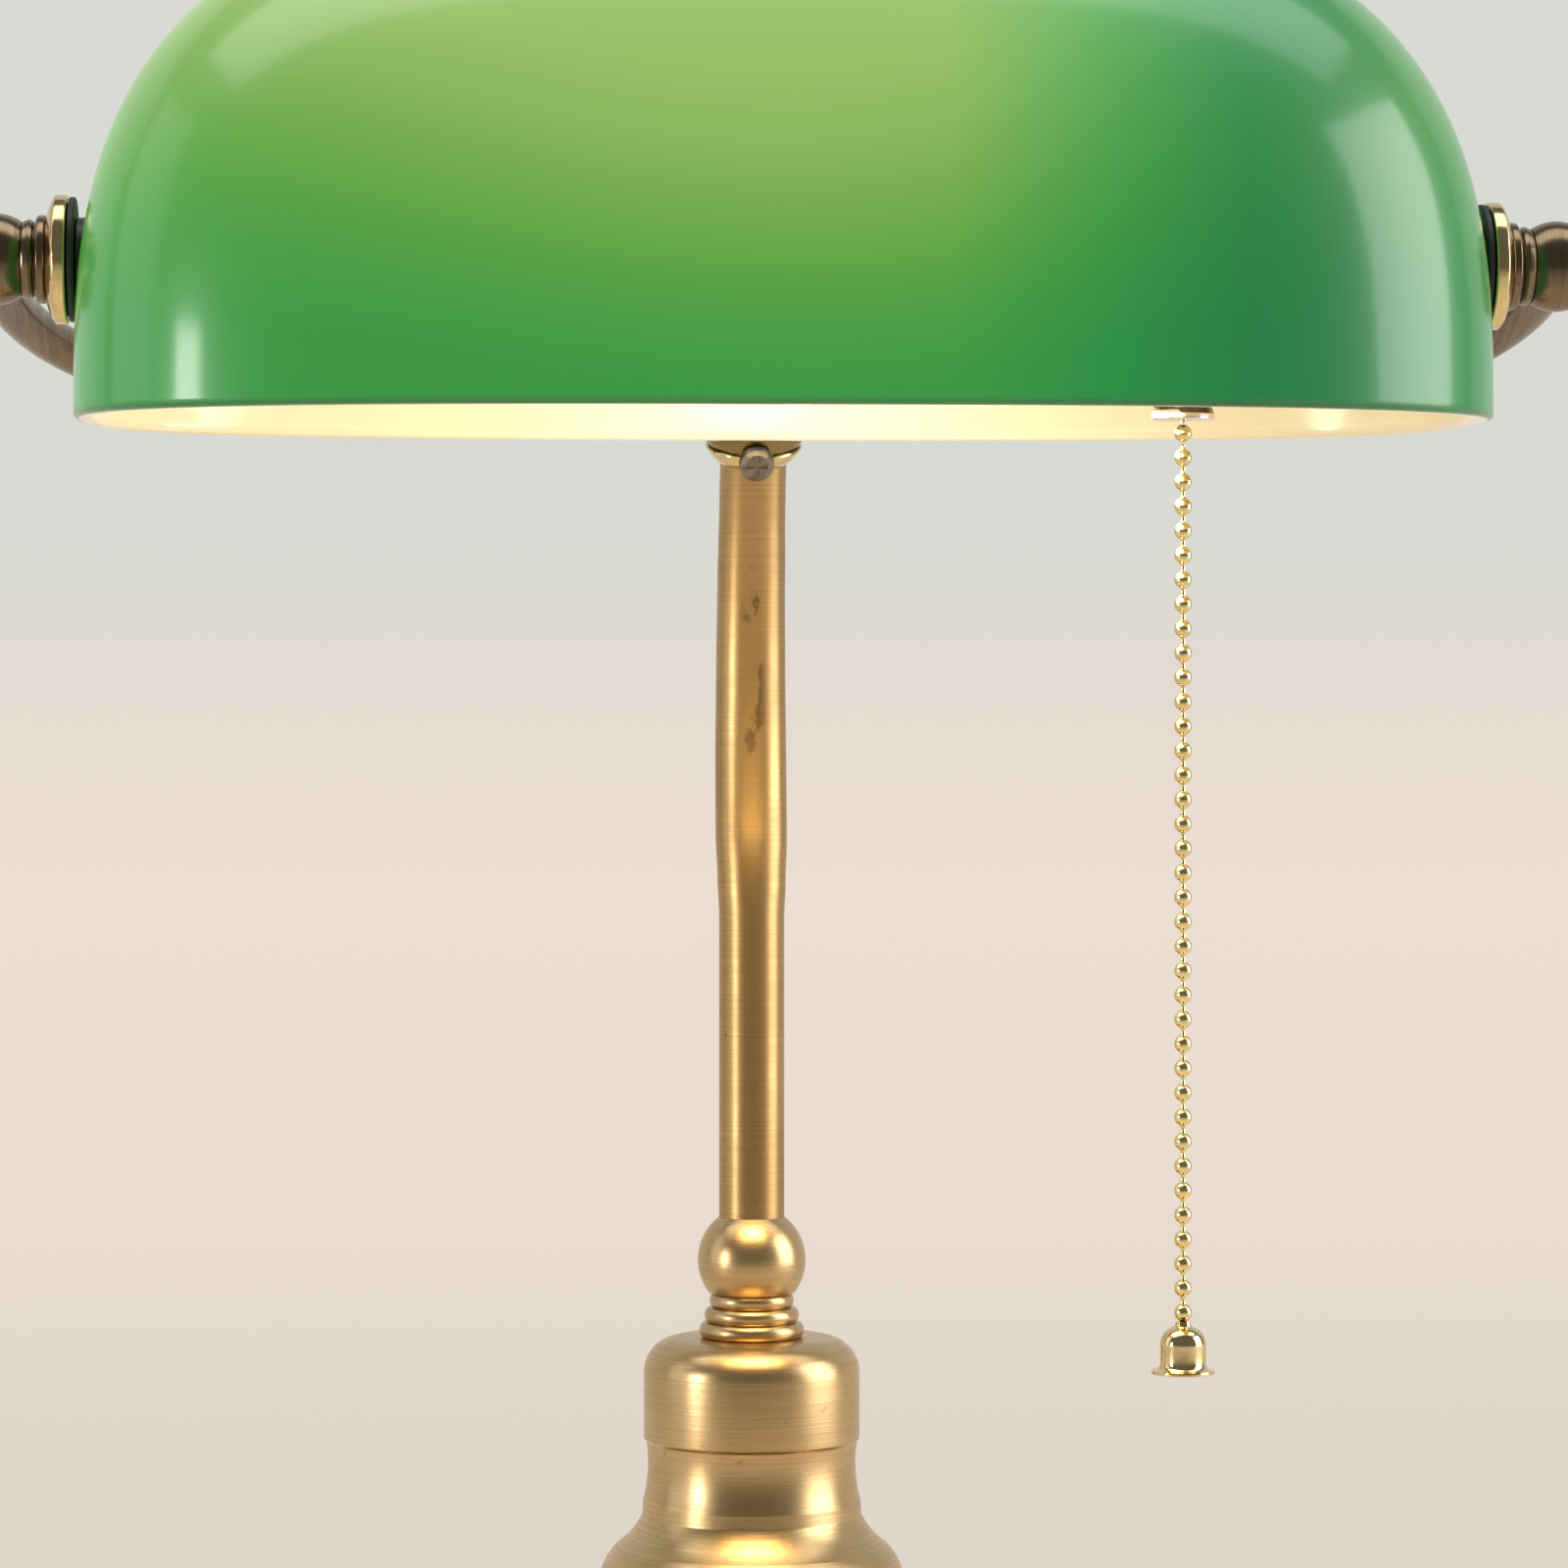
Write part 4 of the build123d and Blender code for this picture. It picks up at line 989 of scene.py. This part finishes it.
# ---------------------------------------------------------------- bulb
def bulb_side(radius, inset):
    """One surface of the bulb's glass, from its neck round to the tip."""
    start = math.radians(56)
    meet = (BULB_X + radius * math.cos(start), radius * math.sin(start))
    points = [(11.4 - inset, 37.0), (12.6 - inset, 31.0)]
    points += [(r, x) for x, r in arc((31.0, 12.6 - inset), (22.5, 17.0 - inset), meet, 14)]
    for k in range(1, 40):
        angle = start + (math.pi - start) * k / 40
        points.append((radius * math.sin(angle), BULB_X + radius * math.cos(angle)))
    return points + [(0, BULB_X - radius)]


bulb_outline = bulb_side(BULB_R, 0.0) + bulb_side(BULB_R - BULB_WALL, BULB_WALL)[::-1]
turned("bulb_frosted", bulb_outline, PIVOT, X_AXIS, "bulb", frosted, ["bulb_glass"], 96, 40)


# ---------------------------------------------------------------- stage, lights and camera
def backdrop_material():
    """Glowing paper, grey above and warm beige below, clear when seen from behind."""
    material = bpy.data.materials.new("backdrop_paper")
    material.use_nodes = True
    tree = material.node_tree
    tree.nodes.clear()
    place = tree.nodes.new("ShaderNodeNewGeometry")
    split = tree.nodes.new("ShaderNodeSeparateXYZ")
    tree.links.new(place.outputs["Position"], split.inputs["Vector"])
    height = spread(tree, split.outputs["Z"], 0.0, 1.0, 0.0, 0.5)
    colour = ramp(
        tree,
        height,
        [
            (0.00, (0.735, 0.665, 0.590)), (0.06, (0.755, 0.680, 0.605)), (0.146, (0.815, 0.723, 0.624)),
            (0.32, (0.838, 0.732, 0.635)), (0.438, (0.783, 0.708, 0.645)), (0.496, (0.705, 0.697, 0.646)),
            (0.56, (0.686, 0.708, 0.658)), (0.95, (0.690, 0.705, 0.665)),
        ],
    )
    emission = tree.nodes.new("ShaderNodeEmission")
    clear = tree.nodes.new("ShaderNodeBsdfTransparent")
    mix = tree.nodes.new("ShaderNodeMixShader")
    output = tree.nodes.new("ShaderNodeOutputMaterial")
    tree.links.new(colour, emission.inputs["Color"])
    tree.links.new(place.outputs["Backfacing"], mix.inputs["Fac"])
    tree.links.new(emission.outputs["Emission"], mix.inputs[1])
    tree.links.new(clear.outputs["BSDF"], mix.inputs[2])
    tree.links.new(mix.outputs["Shader"], output.inputs["Surface"])
    return material


FLOOR_R = 3.0
FLOOR_SIDES = 64
BACKDROP_HALF_WIDTH = 1.3
BACKDROP_HEIGHT = 1.1
CURVE_START_Y = 0.27
CURVE_R = 0.28
CLEAR = 0.0004


def stage_piece(name, verts, faces, material):
    """A plain mesh with one material."""
    mesh = bpy.data.meshes.new(name)
    mesh.from_pydata(verts, [], faces)
    mesh.materials.append(material)
    piece = bpy.data.objects.new(name, mesh)
    bpy.context.scene.collection.objects.link(piece)
    return piece


def build_stage():
    """A pale floor and, behind the lamp, a backdrop that curves up out of it."""
    turns = [2 * math.pi * k / FLOOR_SIDES for k in range(FLOOR_SIDES)]
    rim = [(FLOOR_R * math.cos(turn), FLOOR_R * math.sin(turn), 0.0) for turn in turns]
    pale = plain("pale_floor", (0.74, 0.68, 0.61), 0.03, 0.6, 0.0, 12.0, 0.0002)
    floor = stage_piece("floor", rim, [list(range(FLOOR_SIDES))], pale)
    profile = [(CURVE_START_Y - 0.008, CLEAR)]
    for k in range(13):
        angle = math.pi / 2 * k / 12
        rise = CURVE_R * (1 - math.cos(angle))
        profile.append((CURVE_START_Y + CURVE_R * math.sin(angle), rise + CLEAR))
    profile.append((CURVE_START_Y + CURVE_R, BACKDROP_HEIGHT))
    verts = []
    for y, z in profile:
        verts += [(-BACKDROP_HALF_WIDTH, y, z), (BACKDROP_HALF_WIDTH, y, z)]
    faces = [[i, i + 1, i + 3, i + 2] for i in range(0, len(verts) - 2, 2)]
    backdrop = stage_piece("backdrop", verts, faces, backdrop_material())
    backdrop.data.shade_smooth()


def area_light(name, place, aim, size, power, colour, seen=True):
    """A rectangular light at place, facing aim."""
    data = bpy.data.lights.new(name, "AREA")
    data.shape = "RECTANGLE"
    data.size, data.size_y = size
    data.energy = power
    data.color = colour
    light = bpy.data.objects.new(name, data)
    light.location = place
    light.rotation_euler = (Vector(aim) - Vector(place)).to_track_quat("-Z", "Y").to_euler()
    light.visible_camera = seen
    bpy.context.scene.collection.objects.link(light)


def build_lights():
    """Softboxes at both sides and overhead, the bulb, the shade's warm glow downwards, and a dim room."""
    aim = (0.0, -0.03, 0.2)
    under_shade = (0.0, PIVOT.y, 0.268)
    warm = (1.0, 0.74, 0.38)
    area_light("softbox_left", (-1.25, -0.62, 0.20), aim, (0.22, 0.50), 6.0, (1.0, 0.97, 0.93))
    area_light("shade_glow", under_shade, (0, PIVOT.y, 0), (0.14, 0.08), 0.40, warm, seen=False)
    area_light("softbox_left_back", (-1.30, 0.05, 0.55), aim, (0.60, 1.1), 2.2, (1.0, 0.98, 0.95))
    area_light("softbox_right", (1.25, -0.30, 0.42), aim, (0.80, 1.4), 19, (1.0, 0.98, 0.95))
    area_light("softbox_top", (0.0, -0.10, 1.45), (0, 0, 0.2), (2.4, 0.7), 13, (1.0, 0.99, 0.97))
    data = bpy.data.lights.new("bulb_light", "POINT")
    data.energy = 0.20
    data.shadow_soft_size = 0.0255
    data.color = (1.0, 0.80, 0.50)
    light = bpy.data.objects.new("bulb_light", data)
    light.location = BULB_CENTRE
    bpy.context.scene.collection.objects.link(light)
    world = bpy.data.worlds.new("room")
    world.use_nodes = True
    tree = world.node_tree
    background = tree.nodes["Background"]
    path = tree.nodes.new("ShaderNodeLightPath")
    strength = spread(tree, path.outputs["Is Camera Ray"], 0.16, 0.82, 0.0, 1.0)
    background.inputs["Color"].default_value = (0.98, 0.97, 0.95, 1)
    tree.links.new(strength, background.inputs["Strength"])
    bpy.context.scene.world = world


CAMERA_DISTANCE = 1.031
CAMERA_HEIGHT = 0.219
CAMERA_TURN = math.radians(-3.4)


def build_camera():
    """A long lens, level with the middle of the lamp and slightly to its left."""
    data = bpy.data.cameras.new("camera")
    data.sensor_width = 36.0
    data.lens = 121.6
    data.shift_x = 0.0206
    data.shift_y = -0.0625
    data.clip_start = 0.01
    camera = bpy.data.objects.new("camera", data)
    camera.location = (
        CAMERA_DISTANCE * math.sin(CAMERA_TURN), -CAMERA_DISTANCE * math.cos(CAMERA_TURN), CAMERA_HEIGHT,
    )
    camera.rotation_euler = (math.pi / 2, 0, CAMERA_TURN)
    bpy.context.scene.collection.objects.link(camera)
    bpy.context.scene.camera = camera


build_stage()
build_lights()
build_camera()
bpy.context.scene.view_settings.view_transform = "Standard"
